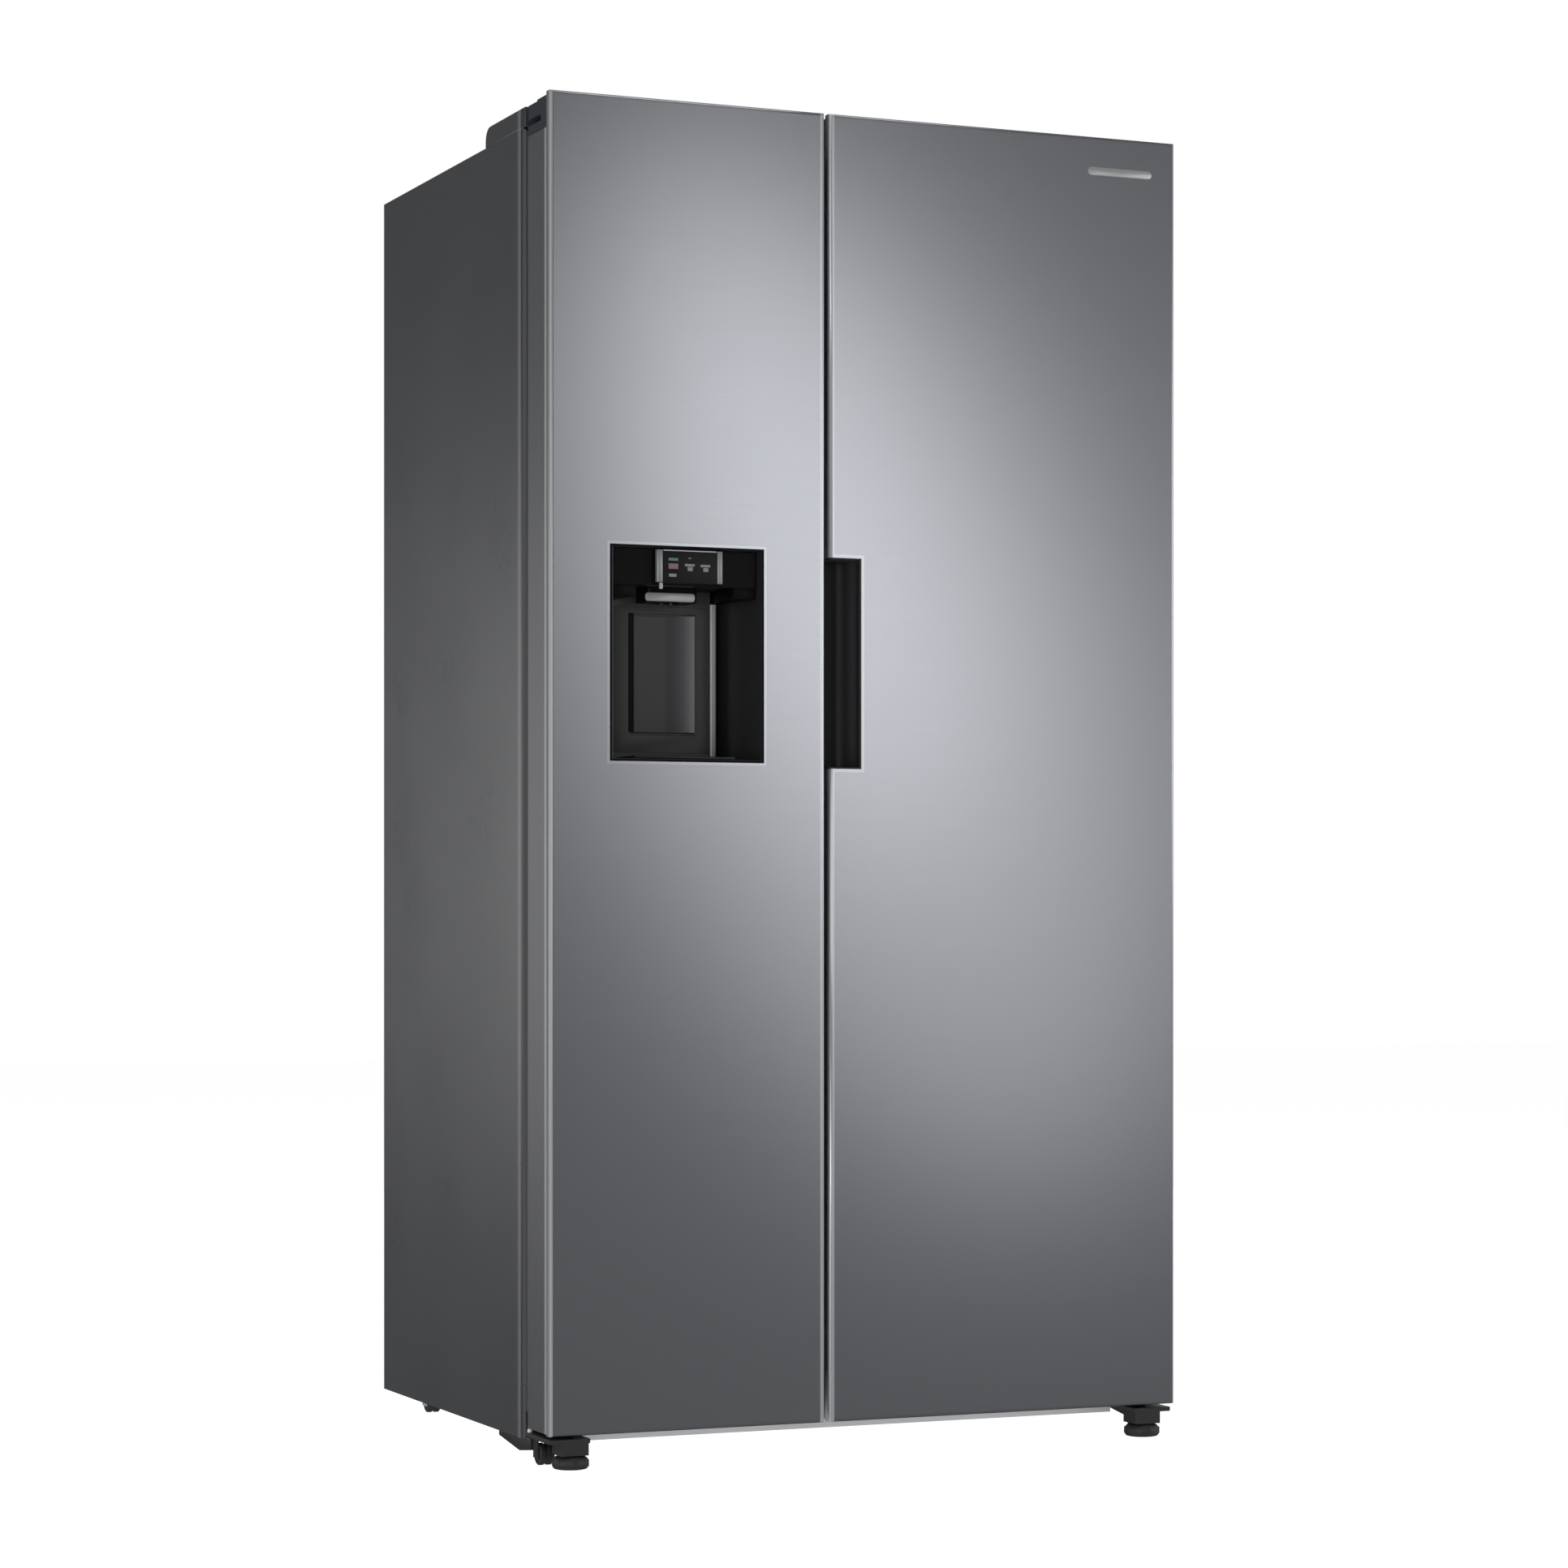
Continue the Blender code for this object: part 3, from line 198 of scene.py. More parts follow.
# dark shade, light shade, roughness, grain scale, grain depth, other sockets
plainLooks = {
    "blackSatin": ((0.012, 0.012, 0.013), (0.018, 0.018, 0.019), 0.34, 1400, 0.00003, {}),
    "footBlack": ((0.016, 0.016, 0.017), (0.026, 0.026, 0.027), 0.50, 1100, 0.00006, {}),
    "lipSilver": ((0.40, 0.40, 0.41), (0.46, 0.46, 0.47), 0.30, 900, 0.00001, {"Metallic": 0.6}),
    "endSilver": ((0.27, 0.27, 0.28), (0.31, 0.31, 0.32), 0.30, 900, 0.00001, {"Metallic": 0.6}),
    # darkChrome also colours the painted highlight strip down the recess plate's right edge
    "darkChrome": ((0.36, 0.36, 0.37), (0.42, 0.42, 0.43), 0.32, 900, 0.00001, {"Metallic": 0.3}),
    "linerWhite": ((0.80, 0.81, 0.82), (0.84, 0.85, 0.86), 0.34, 500, 0.00004, {}),
    "headBlack": (
        (0.0030, 0.0030, 0.0036), (0.0042, 0.0042, 0.0050), 0.34, 60, 0.00001, {"Specular IOR Level": 0.09},
    ),
    "panelBlack": (
        (0.006, 0.006, 0.007), (0.009, 0.009, 0.010), 0.36, 80, 0.00001, {"Specular IOR Level": 0.22},
    ),
    "sealRubber": ((0.130, 0.133, 0.140), (0.160, 0.163, 0.170), 0.60, 700, 0.00005, {}),
    "sillGrey": ((0.56, 0.57, 0.58), (0.60, 0.61, 0.62), 0.42, 900, 0.00004, {}),
    "compressorBlack": ((0.010, 0.010, 0.010), (0.020, 0.020, 0.020), 0.28, 260, 0.00020, {}),
    "aluminiumDrawn": ((0.66, 0.67, 0.68), (0.74, 0.75, 0.76), 0.34, 800, 0.00003, {"Metallic": 1.0}),
    "screwZinc": ((0.60, 0.60, 0.60), (0.74, 0.74, 0.75), 0.28, 900, 0.00002, {"Metallic": 1.0}),
    "lampDiffuser": ((0.90, 0.92, 0.95), (0.95, 0.97, 1.0), 0.30, 300, 0.00002, {"Emission Strength": 0.6}),
}


def plainFinish(name):
    dark, light, roughness, grainScale, depth, sockets = plainLooks[name]
    finish = Finish(name, sockets)
    grain = finish.noise(grainScale, 2.0)
    cloud = finish.noise(6.0, 3.0)
    shade = finish.mix(cloud * 0.7 + grain * 0.3, dark, light)
    finish.feed("Base Color", shade)
    finish.feed("Roughness", (cloud - 0.5) * 0.10 + roughness)
    if "Emission Strength" in sockets:
        finish.feed("Emission Color", shade)
    finish.bump(grain, depth)
    return finish.material


cabinetLook = {
    "dark": (0.050, 0.052, 0.056),
    "light": (0.060, 0.062, 0.066),
    "corner": (0.155, 0.158, 0.166),  # painted highlight along the rolled front corner
    "cornerFrom": (-0.2375, -0.2220),
    "turnIn": (0.040, 0.041, 0.044),  # painted shade where the sheet turns in to the gap
    "turnFrom": -0.2390,
    "roughness": 0.29,
}


def cabinetPaint():
    finish = Finish("cabinetPaint")
    grain = finish.noise(900)
    cloud = finish.noise(6.0, 3.0)
    side = finish.mix(cloud * 0.7 + grain * 0.3, cabinetLook["dark"], cabinetLook["light"])
    depth = finish.axis("y")
    # painted highlight: the side lightens towards the rolled front corner
    cornerHighlight = 1 - depth.ramp(*cabinetLook["cornerFrom"])
    corner = finish.mix(cornerHighlight, side, cabinetLook["corner"])
    # painted shade: darker where the sheet turns in to the gap
    gapShadeMask = depth.below(cabinetLook["turnFrom"])
    finish.feed("Base Color", finish.mix(gapShadeMask, corner, cabinetLook["turnIn"]))
    finish.feed("Roughness", (cloud - 0.5) * 0.10 + cabinetLook["roughness"])
    finish.bump(grain, 0.00005)
    return finish.material


frameLook = {
    "side": (0.074, 0.076, 0.081),
    "sideLight": (0.084, 0.086, 0.091),
    "cap": (0.030, 0.033, 0.042),
    "capFrom": 1.7355,
    "fold": (0.27, 0.275, 0.285),  # painted highlight: lighter band beside the steel's folded edge
    "foldTo": -0.3315,
    "seam": 0.0006,
    "roughness": 0.34,
}


def doorFrameFinish():
    finish = Finish("doorFrame")
    height = finish.axis("z")
    grain = finish.noise(1200, 2.0)
    cloud = finish.noise(5.0, 3.0)
    side = finish.mix(cloud, frameLook["side"], frameLook["sideLight"])
    # painted highlight: lighter band on the frame's side next to the steel's folded edge
    fold = finish.axis("y").below(frameLook["foldTo"])
    side = finish.mix(fold, side, frameLook["fold"])
    colour = finish.mix(height.above(frameLook["capFrom"]), side, frameLook["cap"])
    seam = (height - frameLook["capFrom"]).size().below(frameLook["seam"])
    finish.feed("Base Color", finish.mix(seam, colour, (0.008, 0.008, 0.010)))
    finish.feed("Roughness", (cloud - 0.5) * 0.08 + frameLook["roughness"])
    finish.bump(grain, 0.00004)
    return finish.material


# mouldings with painted light and shade along one axis: (place, shade) stops on it
paintedLightLooks = {
    # recess: painted shade, darker on the right-hand wall
    "recessSatin": ("x", ((-0.192, 0.029), (-0.184, 0.0150)), 0.36, {}),
    # paddle: painted highlight, lighter towards its right edge
    "paddleGrey": ("x", ((-0.268, 0.029), (-0.2235, 0.078)), 0.30, {}),
    # finger pocket: painted light a little way in, painted shade deeper in
    "pocketBlack": (
        "y", ((-0.352, 0.018), (-0.338, 0.046), (-0.318, 0.0065)), 0.38, {"Specular IOR Level": 0.2}
    ),
}
tint = (1.0, 1.02, 1.09)  # the mouldings are slightly blue


def blendFinish(name):
    letter, stops, roughness, sockets = paintedLightLooks[name]
    finish = Finish(name, sockets)
    place = finish.axis(letter)
    grain = finish.noise(1500)
    cloud = finish.noise(6.0, 3.0)
    colour = tuple(stops[0][1] * c for c in tint)
    for (low, _), (high, shade) in zip(stops, stops[1:]):
        colour = finish.mix(place.ramp(low, high), colour, tuple(shade * c for c in tint))
    worn = finish.mix(cloud * 0.5 + grain * 0.5, (0.93, 0.93, 0.93), (1.07, 1.07, 1.07))
    multiply = {"data_type": "RGBA", "blend_type": "MULTIPLY"}
    finish.feed("Base Color", finish.node("ShaderNodeMix", multiply, {0: 1.0, 6: colour, 7: worn}, 2))
    finish.feed("Roughness", (cloud - 0.5) * 0.08 + roughness)
    finish.bump(grain, 0.00002)
    return finish.material


galvanisedLook = {"dark": (0.47, 0.48, 0.49), "light": (0.56, 0.57, 0.58), "spangle": 150}


def galvanised():
    finish = Finish("galvanised", {"Metallic": 0.5})
    flakes = finish.cells(galvanisedLook["spangle"], "Color")
    shade = finish.node("ShaderNodeSeparateColor", {}, {0: flakes}, 0)
    finish.feed(
        "Base Color", finish.mix(shade, galvanisedLook["dark"], galvanisedLook["light"])
    )
    finish.feed("Roughness", shade * 0.16 + 0.34)
    finish.bump(finish.noise(400), 0.00004)
    return finish.material


def copperTube():
    finish = Finish("copperTube", {"Metallic": 1.0})
    stain = finish.noise(35, 4.0)
    bright, stained = (0.72, 0.38, 0.24), (0.40, 0.20, 0.12)
    finish.feed("Base Color", finish.mix(stain.ramp(0.4, 0.7), bright, stained))
    finish.feed("Roughness", stain * 0.3 + 0.22)
    return finish.material


clearLooks = {  # tint, least cover, roughness
    "clearTub": ((0.78, 0.84, 0.88), 0.20, 0.10),
    "shelfGlass": ((0.62, 0.76, 0.72), 0.24, 0.04),
}
clearIor = 1.49


def clearFinish(name):
    hue, cover, roughness = clearLooks[name]
    finish = Finish(name, {"IOR": clearIor})
    cloud = finish.noise(18, 3.0)
    finish.feed("Base Color", finish.mix(cloud, hue, tuple(c * 1.06 for c in hue)))
    finish.feed("Roughness", cloud * 0.06 + roughness)
    finish.feed("Alpha", finish.fresnel(clearIor) * 0.8 + cover)
    return finish.material


def foamFinish():
    finish = Finish("foamTan")
    bubbles = finish.cells(420, "Distance")
    finish.feed("Base Color", finish.mix(bubbles, (0.62, 0.52, 0.33), (0.78, 0.69, 0.48)))
    finish.feed("Roughness", bubbles * 0.2 + 0.75)
    finish.bump(bubbles, 0.0006)
    return finish.material


def printInk(name, colour):
    finish = Finish(name, {"Roughness": 0.4})
    grain = finish.noise(3000)
    finish.feed("Base Color", finish.mix(grain, tuple(c * 0.8 for c in colour), colour))
    return finish.material


finishes = {name: plainFinish(name) for name in plainLooks}
finishes.update({name: clearFinish(name) for name in clearLooks})
finishes.update({name: blendFinish(name) for name in paintedLightLooks})
finishes["cabinetPaint"] = cabinetPaint()
finishes["doorSteel"] = brushedSteel("doorSteel", 1.0)
# a lighter copy of the door steel: painted highlight for the thin strips round the dispenser and the finger
# pocket
finishes["rimSteel"] = brushedSteel("rimSteel", 1.2)
finishes["doorFrame"] = doorFrameFinish()
finishes["galvanised"] = galvanised()
finishes["copperTube"] = copperTube()
finishes["foamTan"] = foamFinish()
finishes["inkWhite"] = printInk("inkWhite", (0.20, 0.20, 0.21))
finishes["inkTeal"] = printInk("inkTeal", (0.08, 0.17, 0.145))
finishes["inkRed"] = printInk("inkRed", (0.19, 0.11, 0.125))
print("finishes made:", len(finishes))


# mesh helpers
def block(lo, hi):
    lo, hi = Vector(lo), Vector(hi)
    bm = bmesh.new()
    bmesh.ops.create_cube(bm, size=1.0)
    bmesh.ops.scale(bm, vec=hi - lo, verts=bm.verts)
    bmesh.ops.translate(bm, vec=(lo + hi) / 2, verts=bm.verts)
    return bm


def bevelEdges(bm, width, segments=3, chosen=None):
    edges = []
    for edge in bm.edges:
        a, b = (v.co for v in edge.verts)
        if chosen is None or chosen((a + b) / 2, (b - a).normalized()):
            edges.append(edge)
    bmesh.ops.bevel(
        bm, geom=edges, offset=width, segments=segments, profile=0.5, affect="EDGES",
        material=-1, clamp_overlap=True,
    )
    return bm


def softBlock(lo, hi, width=0.001, segments=2):
    return bevelEdges(block(lo, hi), width, segments)


def absorb(bm, other):
    mesh = bpy.data.meshes.new("part")
    other.to_mesh(mesh)
    other.free()
    bm.from_mesh(mesh)
    bpy.data.meshes.remove(mesh)
    return bm


def gather(parts):
    bm = bmesh.new()
    for part in parts:
        absorb(bm, part)
    return bm


turns = {
    "z": Matrix.Identity(4),
    "x": Matrix.Rotation(math.pi / 2, 4, "Y"),
    "y": Matrix.Rotation(-math.pi / 2, 4, "X"),
}


def turned(profile, centre, axis="z", steps=40):
    # revolves (radius, height) points, then lays the result along an axis
    bm = bmesh.new()
    verts = [bm.verts.new((r, 0, h)) for r, h in profile]
    edges = [bm.edges.new(pair) for pair in zip(verts, verts[1:])]
    bmesh.ops.spin(
        bm, geom=verts + edges, cent=(0, 0, 0), axis=(0, 0, 1), angle=math.tau, steps=steps,
        use_merge=True, use_duplicate=False,
    )
    bmesh.ops.remove_doubles(bm, verts=bm.verts, dist=1e-6)
    bmesh.ops.recalc_face_normals(bm, faces=bm.faces)
    bmesh.ops.transform(bm, matrix=Matrix.Translation(centre) @ turns[axis], verts=bm.verts)
    return bm


def onlyVerts(geometry):
    return [part for part in geometry if isinstance(part, bmesh.types.BMVert)]


def ringLoft(xs, zs, profile):
    # closed rectangular ring: each profile point is (inset from the outline, y)
    bm = bmesh.new()
    middle = Vector(((xs[0] + xs[1]) / 2, 0, (zs[0] + zs[1]) / 2))
    start = bmesh.ops.create_grid(bm, x_segments=1, y_segments=1, size=1.0)["verts"]
    bmesh.ops.rotate(bm, matrix=Matrix.Rotation(math.pi / 2, 3, "X"), verts=start)
    bmesh.ops.translate(bm, vec=middle, verts=start)
    bmesh.ops.delete(bm, geom=bm.faces[:], context="FACES_ONLY")

    def placeLoop(verts, inset, y):
        for vert in verts:
            right, upper = vert.co.x > middle.x, vert.co.z > middle.z
            vert.co.x = xs[1] - inset if right else xs[0] + inset
            vert.co.z = zs[1] - inset if upper else zs[0] + inset
            vert.co.y = y

    placeLoop(start, *profile[0])
    loop = bm.edges[:]
    for inset, y in profile[1:] + profile[:1]:
        grown = bmesh.ops.extrude_edge_only(bm, edges=loop)["geom"]
        loop = [part for part in grown if isinstance(part, bmesh.types.BMEdge)]
        placeLoop(onlyVerts(grown), inset, y)
    bmesh.ops.remove_doubles(bm, verts=bm.verts, dist=1e-6)
    bmesh.ops.recalc_face_normals(bm, faces=bm.faces)
    return bm


flatFrom = 0.02  # faces larger than this stay exactly flat


def makePiece(name, bm, finish, body, stands=(), sharp=35):
    mesh = bpy.data.meshes.new(name)
    bm.to_mesh(mesh)
    bm.free()
    mesh.materials.append(finishes[finish])
    mesh.shade_smooth()
    mesh.set_sharp_from_angle(angle=math.radians(sharp))
    for face in mesh.polygons:
        if face.area > flatFrom:
            face.use_smooth = False
    piece = bpy.data.objects.new(name, mesh)
    scene.collection.objects.link(piece)
    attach(piece, body)
    if stands:
        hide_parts(*stands)
    return piece


bodies = frame["record"]["behaviour"]["bodies"]
nodeBody = {node: body for body, nodes in bodies.items() for node in nodes}


def pieceName(node):
    first, *others = node.split("_")
    return first + "".join(word.capitalize() for word in others)


def dressNode(node, finish):
    slots = frame["nodes"][node].data.materials
    slots.clear()
    slots.append(finishes[finish])


easeFrom = math.radians(40)  # sharper edges than this are eased


def softNode(node, finish, width, segments=2, trim=None):
    # merged copy of a CAD part with eased edges; trim is (x, side to cut away)
    bm = bmesh.new()
    bm.from_mesh(frame["nodes"][node].data)
    bmesh.ops.remove_doubles(bm, verts=bm.verts, dist=2e-6)
    bmesh.ops.dissolve_limit(
        bm, angle_limit=math.radians(0.3), verts=bm.verts, edges=bm.edges, delimit=set()
    )
    if trim:
        everything = bm.verts[:] + bm.edges[:] + bm.faces[:]
        bmesh.ops.bisect_plane(
            bm, geom=everything, plane_co=(trim[0], 0, 0), plane_no=(trim[1], 0, 0), clear_outer=True
        )
        bmesh.ops.holes_fill(bm, edges=[edge for edge in bm.edges if edge.is_boundary])
    piece = makePiece(pieceName(node), bm, finish, nodeBody[node], (node,))
    if width:
        modifier = piece.modifiers.new("easedEdges", "BEVEL")
        modifier.width = width
        modifier.segments = segments
        modifier.limit_method = "ANGLE"
        modifier.angle_limit = easeFrom
        modifier.use_clamp_overlap = True
        modifier.harden_normals = False
    return piece


# steel door fronts: one folded sheet each, with an opening
skinShape = {"corner": 0.0042, "sheet": 0.001}


def doorFront(name, node, cutX, cutZ):
    lo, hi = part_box(node)
    bm = block(lo, hi)
    back = [face for face in bm.faces if face.calc_center_median().y > hi.y - 1e-4]
    bmesh.ops.delete(bm, geom=back, context="FACES")
    bevelEdges(bm, skinShape["corner"], 8, lambda m, d: abs(m.y - lo.y) < 1e-5)
    for axis, values in ((0, cutX), (2, cutZ)):
        for value in values:
            point, normal = Vector(), Vector()
            point[axis] = value
            normal[axis] = 1.0
            bmesh.ops.bisect_plane(
                bm, geom=bm.verts[:] + bm.edges[:] + bm.faces[:], plane_co=point, plane_no=normal
            )
    inside = []
    for face in bm.faces:
        middle = face.calc_center_median()
        if cutX[0] < middle.x < cutX[1] and cutZ[0] < middle.z < cutZ[1]:
            inside.append(face)
    bmesh.ops.delete(bm, geom=inside, context="FACES")
    bmesh.ops.recalc_face_normals(bm, faces=bm.faces)
    piece = makePiece(name, bm, "doorSteel", nodeBody[node], (node,), 50)
    sheet = piece.modifiers.new("sheet", "SOLIDIFY")
    sheet.thickness = skinShape["sheet"]
    sheet.offset = -1.0
    sheet.use_even_offset = True
    return piece


frontY = cadBounds[0][1]
housingLo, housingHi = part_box("dispenser_housing")
pocketLo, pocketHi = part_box("handle_pocket")
gap = 0.0003
doorFront(
    "freezerDoorFront", "freezer_door_skin",
    (housingLo.x - gap, housingHi.x + gap), (housingLo.z - gap, housingHi.z + gap),
)
doorFront(
    "fridgeDoorFront", "fridge_door_skin",
    (pocketLo.x - 0.01, pocketHi.x + gap), (pocketLo.z - gap, pocketHi.z + gap),
)
print("door fronts folded")

# cabinet and the painted covers
softNode("cabinet_wrapper", "cabinetPaint", 0)
softNode("hinge_cover_left", "cabinetPaint", 0.0008, 3)
softNode("hinge_cover_right", "cabinetPaint", 0.0008, 3)
softNode("freezer_door_frame", "doorFrame", 0.0004, 2)
softNode("fridge_door_frame", "doorFrame", 0.0004, 2)
softNode("front_sill_rail", "sillGrey", 0.0002, 1)
softNode("centre_mullion_cover", "cabinetPaint", 0.0003, 1)
hingeEnd = 0.398  # the plates' inner ends, under the sill, are cut off here
softNode("lower_hinge_left", "footBlack", 0.0008, 2, (-hingeEnd, 1))
softNode("lower_hinge_right", "footBlack", 0.0008, 2, (hingeEnd, -1))
softNode("upper_hinge_left", "galvanised", 0.0004, 2)
softNode("upper_hinge_right", "galvanised", 0.0004, 2)

# door seals: a magnet bulb with folds towards the door
sealShape = {"width": 0.0145, "fold": 0.0022}


def doorSeal(name, node):
    lo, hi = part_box(node)
    near, far = lo.y, hi.y
    deep = far - near
    fold = sealShape["fold"]
    width = sealShape["width"]
    outside = [
        (0.0, near), (0.0, near + 0.15 * deep), (fold, near + 0.25 * deep),
        (0.0, near + 0.38 * deep), (fold, near + 0.50 * deep), (0.0, near + 0.62 * deep),
        (0.0, far - 0.0012), (0.0012, far),
    ]
    inside = [
        (width - 0.0012, far), (width, far - 0.0012), (width, near + 0.62 * deep),
        (width - fold, near + 0.50 * deep), (width, near + 0.38 * deep), (width, near),
    ]
    bm = ringLoft((lo.x, hi.x), (lo.z, hi.z), outside + inside)
    makePiece(name, bm, "sealRubber", nodeBody[node], (node,), 60)


doorSeal("freezerDoorSeal", "freezer_door_gasket")
doorSeal("fridgeDoorSeal", "fridge_door_gasket")
print("cabinet, frames and seals dressed")

# dispenser
softNode("dispenser_housing", "recessSatin", 0.0012, 3)
softNode("dispenser_head", "headBlack", 0.0012, 3)

# thin ring of the lighter steel copy round the dispenser opening: a painted highlight
rimShape = {"wide": 0.0036, "proud": 0.0001, "turn": 0.0008}
flangeOut = {"left": 0.0024, "right": 0.0008, "below": 0.0014, "above": 0.0002}
flangeX = (housingLo.x - flangeOut["left"], housingHi.x + flangeOut["right"])
flangeZ = (housingLo.z - flangeOut["below"], housingHi.z + flangeOut["above"])
wide, turn, rimY = rimShape["wide"], rimShape["turn"], frontY - rimShape["proud"]
backOfRim = housingLo.y
rimProfile = [
    (0.0, backOfRim), (0.0, rimY), (wide, rimY), (wide + 0.0001, rimY + turn), (wide, backOfRim),
]
rimX = (flangeX[0] - wide, flangeX[1] + wide)
rimZ = (flangeZ[0] - wide, flangeZ[1] + wide)
rim = ringLoft(rimX, rimZ, rimProfile)
makePiece("dispenserRim", rim, "rimSteel", "freezer_door", (), 20)
flangeWide = 0.0030
flangeProfile = [(0.0, backOfRim), (0.0, frontY), (flangeWide, frontY), (flangeWide, backOfRim)]
flange = ringLoft(flangeX, flangeZ, flangeProfile)
makePiece("dispenserFlange", flange, "headBlack", "freezer_door", (), 20)

# recess plate carried up to the head and down to the floor, with a raised line round the paddle
plateBlocks = {  # lowest corner, highest corner, eased edge
    "upper": ((-0.3396, -0.2684, 1.1250), (-0.1978, -0.2560, 1.1473), 0.0004),
    "lower": ((-0.3396, -0.2684, 0.9220), (-0.1904, -0.2560, 0.9330), 0.0004),
    "lineRight": ((-0.2214, -0.2686, 0.9562), (-0.2186, -0.2560, 1.1158), 0.0003),
    "lineTop": ((-0.3108, -0.2686, 1.1132), (-0.2216, -0.2560, 1.1158), 0.0003),
    "lineBottom": ((-0.3108, -0.2686, 0.9562), (-0.2216, -0.2600, 0.9586), 0.0003),
}
plateMore = gather([softBlock(lo, hi, eased, 1) for lo, hi, eased in plateBlocks.values()])
makePiece("recessPlateMore", plateMore, "recessSatin", "freezer_door")

# black strip in front of the plate at the paddle's left: a painted shadow for the slot
slotShadowShape = {"lo": (-0.3145, -0.2689, 0.9588), "hi": (-0.3066, -0.2560, 1.1170), "eased": 0.0003}
slotShadow = softBlock(slotShadowShape["lo"], slotShadowShape["hi"], slotShadowShape["eased"], 1)
makePiece("paddleSlot", slotShadow, "headBlack", "freezer_door")

# head brought lower at both ends
apronShape = {
    "ends": ((-0.3655, -0.3330), (-0.1960, -0.1645)),
    "y": (-0.3450, -0.2520),
    "z": (1.1330, 1.1485),
}
(apronY0, apronY1), (apronZ0, apronZ1) = apronShape["y"], apronShape["z"]
apron = gather([
    softBlock((x0, apronY0, apronZ0), (x1, apronY1, apronZ1), 0.0010, 2) for x0, x1 in apronShape["ends"]
])
makePiece("headApron", apron, "headBlack", "freezer_door")

# slim light strip down the right of the recess plate, a painted highlight
edgeHighlightShape = {"x": (-0.1985, -0.1890), "y": (-0.2700, -0.2640), "z": (0.9262, 1.1310)}
plateEdgeHighlight = block(*zip(edgeHighlightShape["x"], edgeHighlightShape["y"], edgeHighlightShape["z"]))
bevelEdges(plateEdgeHighlight, 0.0030, 5, lambda m, d: abs(d.z) > 0.9 and m.y < edgeHighlightShape["y"][0] + 0.001)
makePiece("recessPlateEdge", plateEdgeHighlight, "darkChrome", "freezer_door", (), 60)

# paddle: flat at its left, curling forward at its right
paddleShape = {
    "x": (-0.3056, -0.2226),
    "flatTo": -0.2640,
    "y": -0.2662,
    "curl": 5.0,
    "z": (0.9596, 1.1140),
    "thick": 0.0028,
    "steps": 24,
    "axle": {"radius": 0.003, "half": 0.050, "y": -0.262, "z": 1.108},
}
paddleX0, paddleX1 = paddleShape["x"]
paddleRow = []
for i in range(paddleShape["steps"] + 1):
    x = paddleX0 + (paddleX1 - paddleX0) * i / paddleShape["steps"]
    curled = max(0, x - paddleShape["flatTo"])
    paddleRow.append((x, paddleShape["y"] - paddleShape["curl"] * curled ** 2))
paddle = bmesh.new()
rowVerts = [paddle.verts.new((x, y, paddleShape["z"][0])) for x, y in paddleRow]
rowEdges = [paddle.edges.new(pair) for pair in zip(rowVerts, rowVerts[1:])]
risen = bmesh.ops.extrude_edge_only(paddle, edges=rowEdges)["geom"]
lift = Vector((0, 0, paddleShape["z"][1] - paddleShape["z"][0]))
bmesh.ops.translate(paddle, vec=lift, verts=onlyVerts(risen))
bmesh.ops.recalc_face_normals(paddle, faces=paddle.faces)
if paddle.faces[:][0].normal.y > 0:
    bmesh.ops.reverse_faces(paddle, faces=paddle.faces)
bmesh.ops.solidify(paddle, geom=paddle.faces[:], thickness=paddleShape["thick"])
axisLo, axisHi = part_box("dispenser_paddle")
axle = paddleShape["axle"]
axleProfile = [
    (0, -axle["half"]), (axle["radius"], -axle["half"]), (axle["radius"], axle["half"]), (0, axle["half"]),
]
absorb(paddle, turned(axleProfile, ((axisLo.x + axisHi.x) / 2, axle["y"], axle["z"]), "x", 24))
makePiece(
    "dispenserPaddle", paddle, "paddleGrey", "dispenser_paddle",
    ("dispenser_paddle",), 30,
)

lipShape = {"x": (-0.3070, -0.2375), "y": (-0.3132, -0.3092), "z": (1.1297, 1.1410)}
chuteLip = block(*zip(lipShape["x"], lipShape["y"], lipShape["z"]))
bevelEdges(chuteLip, 0.0035, 4, lambda m, d: abs(d.y) > 0.9)
bevelEdges(chuteLip, 0.0008, 2, lambda m, d: m.y < lipShape["y"][0] + 1e-4)
makePiece("chuteLip", chuteLip, "lipSilver", "freezer_door")

nozzleShape = {
    "at": (-0.2675, -0.3005, 1.1290),
    "profile": [
        (0, 0.0), (0.0026, 0.0), (0.0030, -0.0004), (0.0032, -0.0036), (0.0028, -0.0042),
        (0.0018, -0.0042), (0.0018, -0.002), (0, -0.002),
    ],
}
nozzle = turned(nozzleShape["profile"], nozzleShape["at"], "z", 24)
makePiece("waterNozzle", nozzle, "blackSatin", "freezer_door")

panelLo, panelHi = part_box("control_panel")
panelShape = {"left": (0.0012, 0.0100), "right": (-0.0110, -0.0030), "proud": 0.0006}
panelBody = softBlock(panelLo + Vector((0.0015, 0.0006, 0)), panelHi - Vector((0.0020, 0, 0)), 0.0015, 3)
makePiece(
    "controlPanelBody", panelBody, "panelBlack", "freezer_door", ("control_panel",)
)
panelEnds = (("Left", panelLo.x, panelShape["left"]), ("Right", panelHi.x, panelShape["right"]))
for side, base, span in panelEnds:
    bar = block(
        (base + span[0], panelLo.y - panelShape["proud"] + 0.0002, panelLo.z + 0.0010),
        (base + span[1], panelLo.y + 0.006, panelHi.z - 0.0008),
    )
    bevelEdges(bar, 0.0026, 4, lambda m, d: abs(d.z) > 0.9 and m.y < panelLo.y + 0.001)
    bevelEdges(bar, 0.0006, 2, lambda m, d: abs(d.z) < 0.1 and m.y < panelLo.y + 0.001)
    makePiece("controlPanelEnd" + side, bar, "endSilver", "freezer_door")
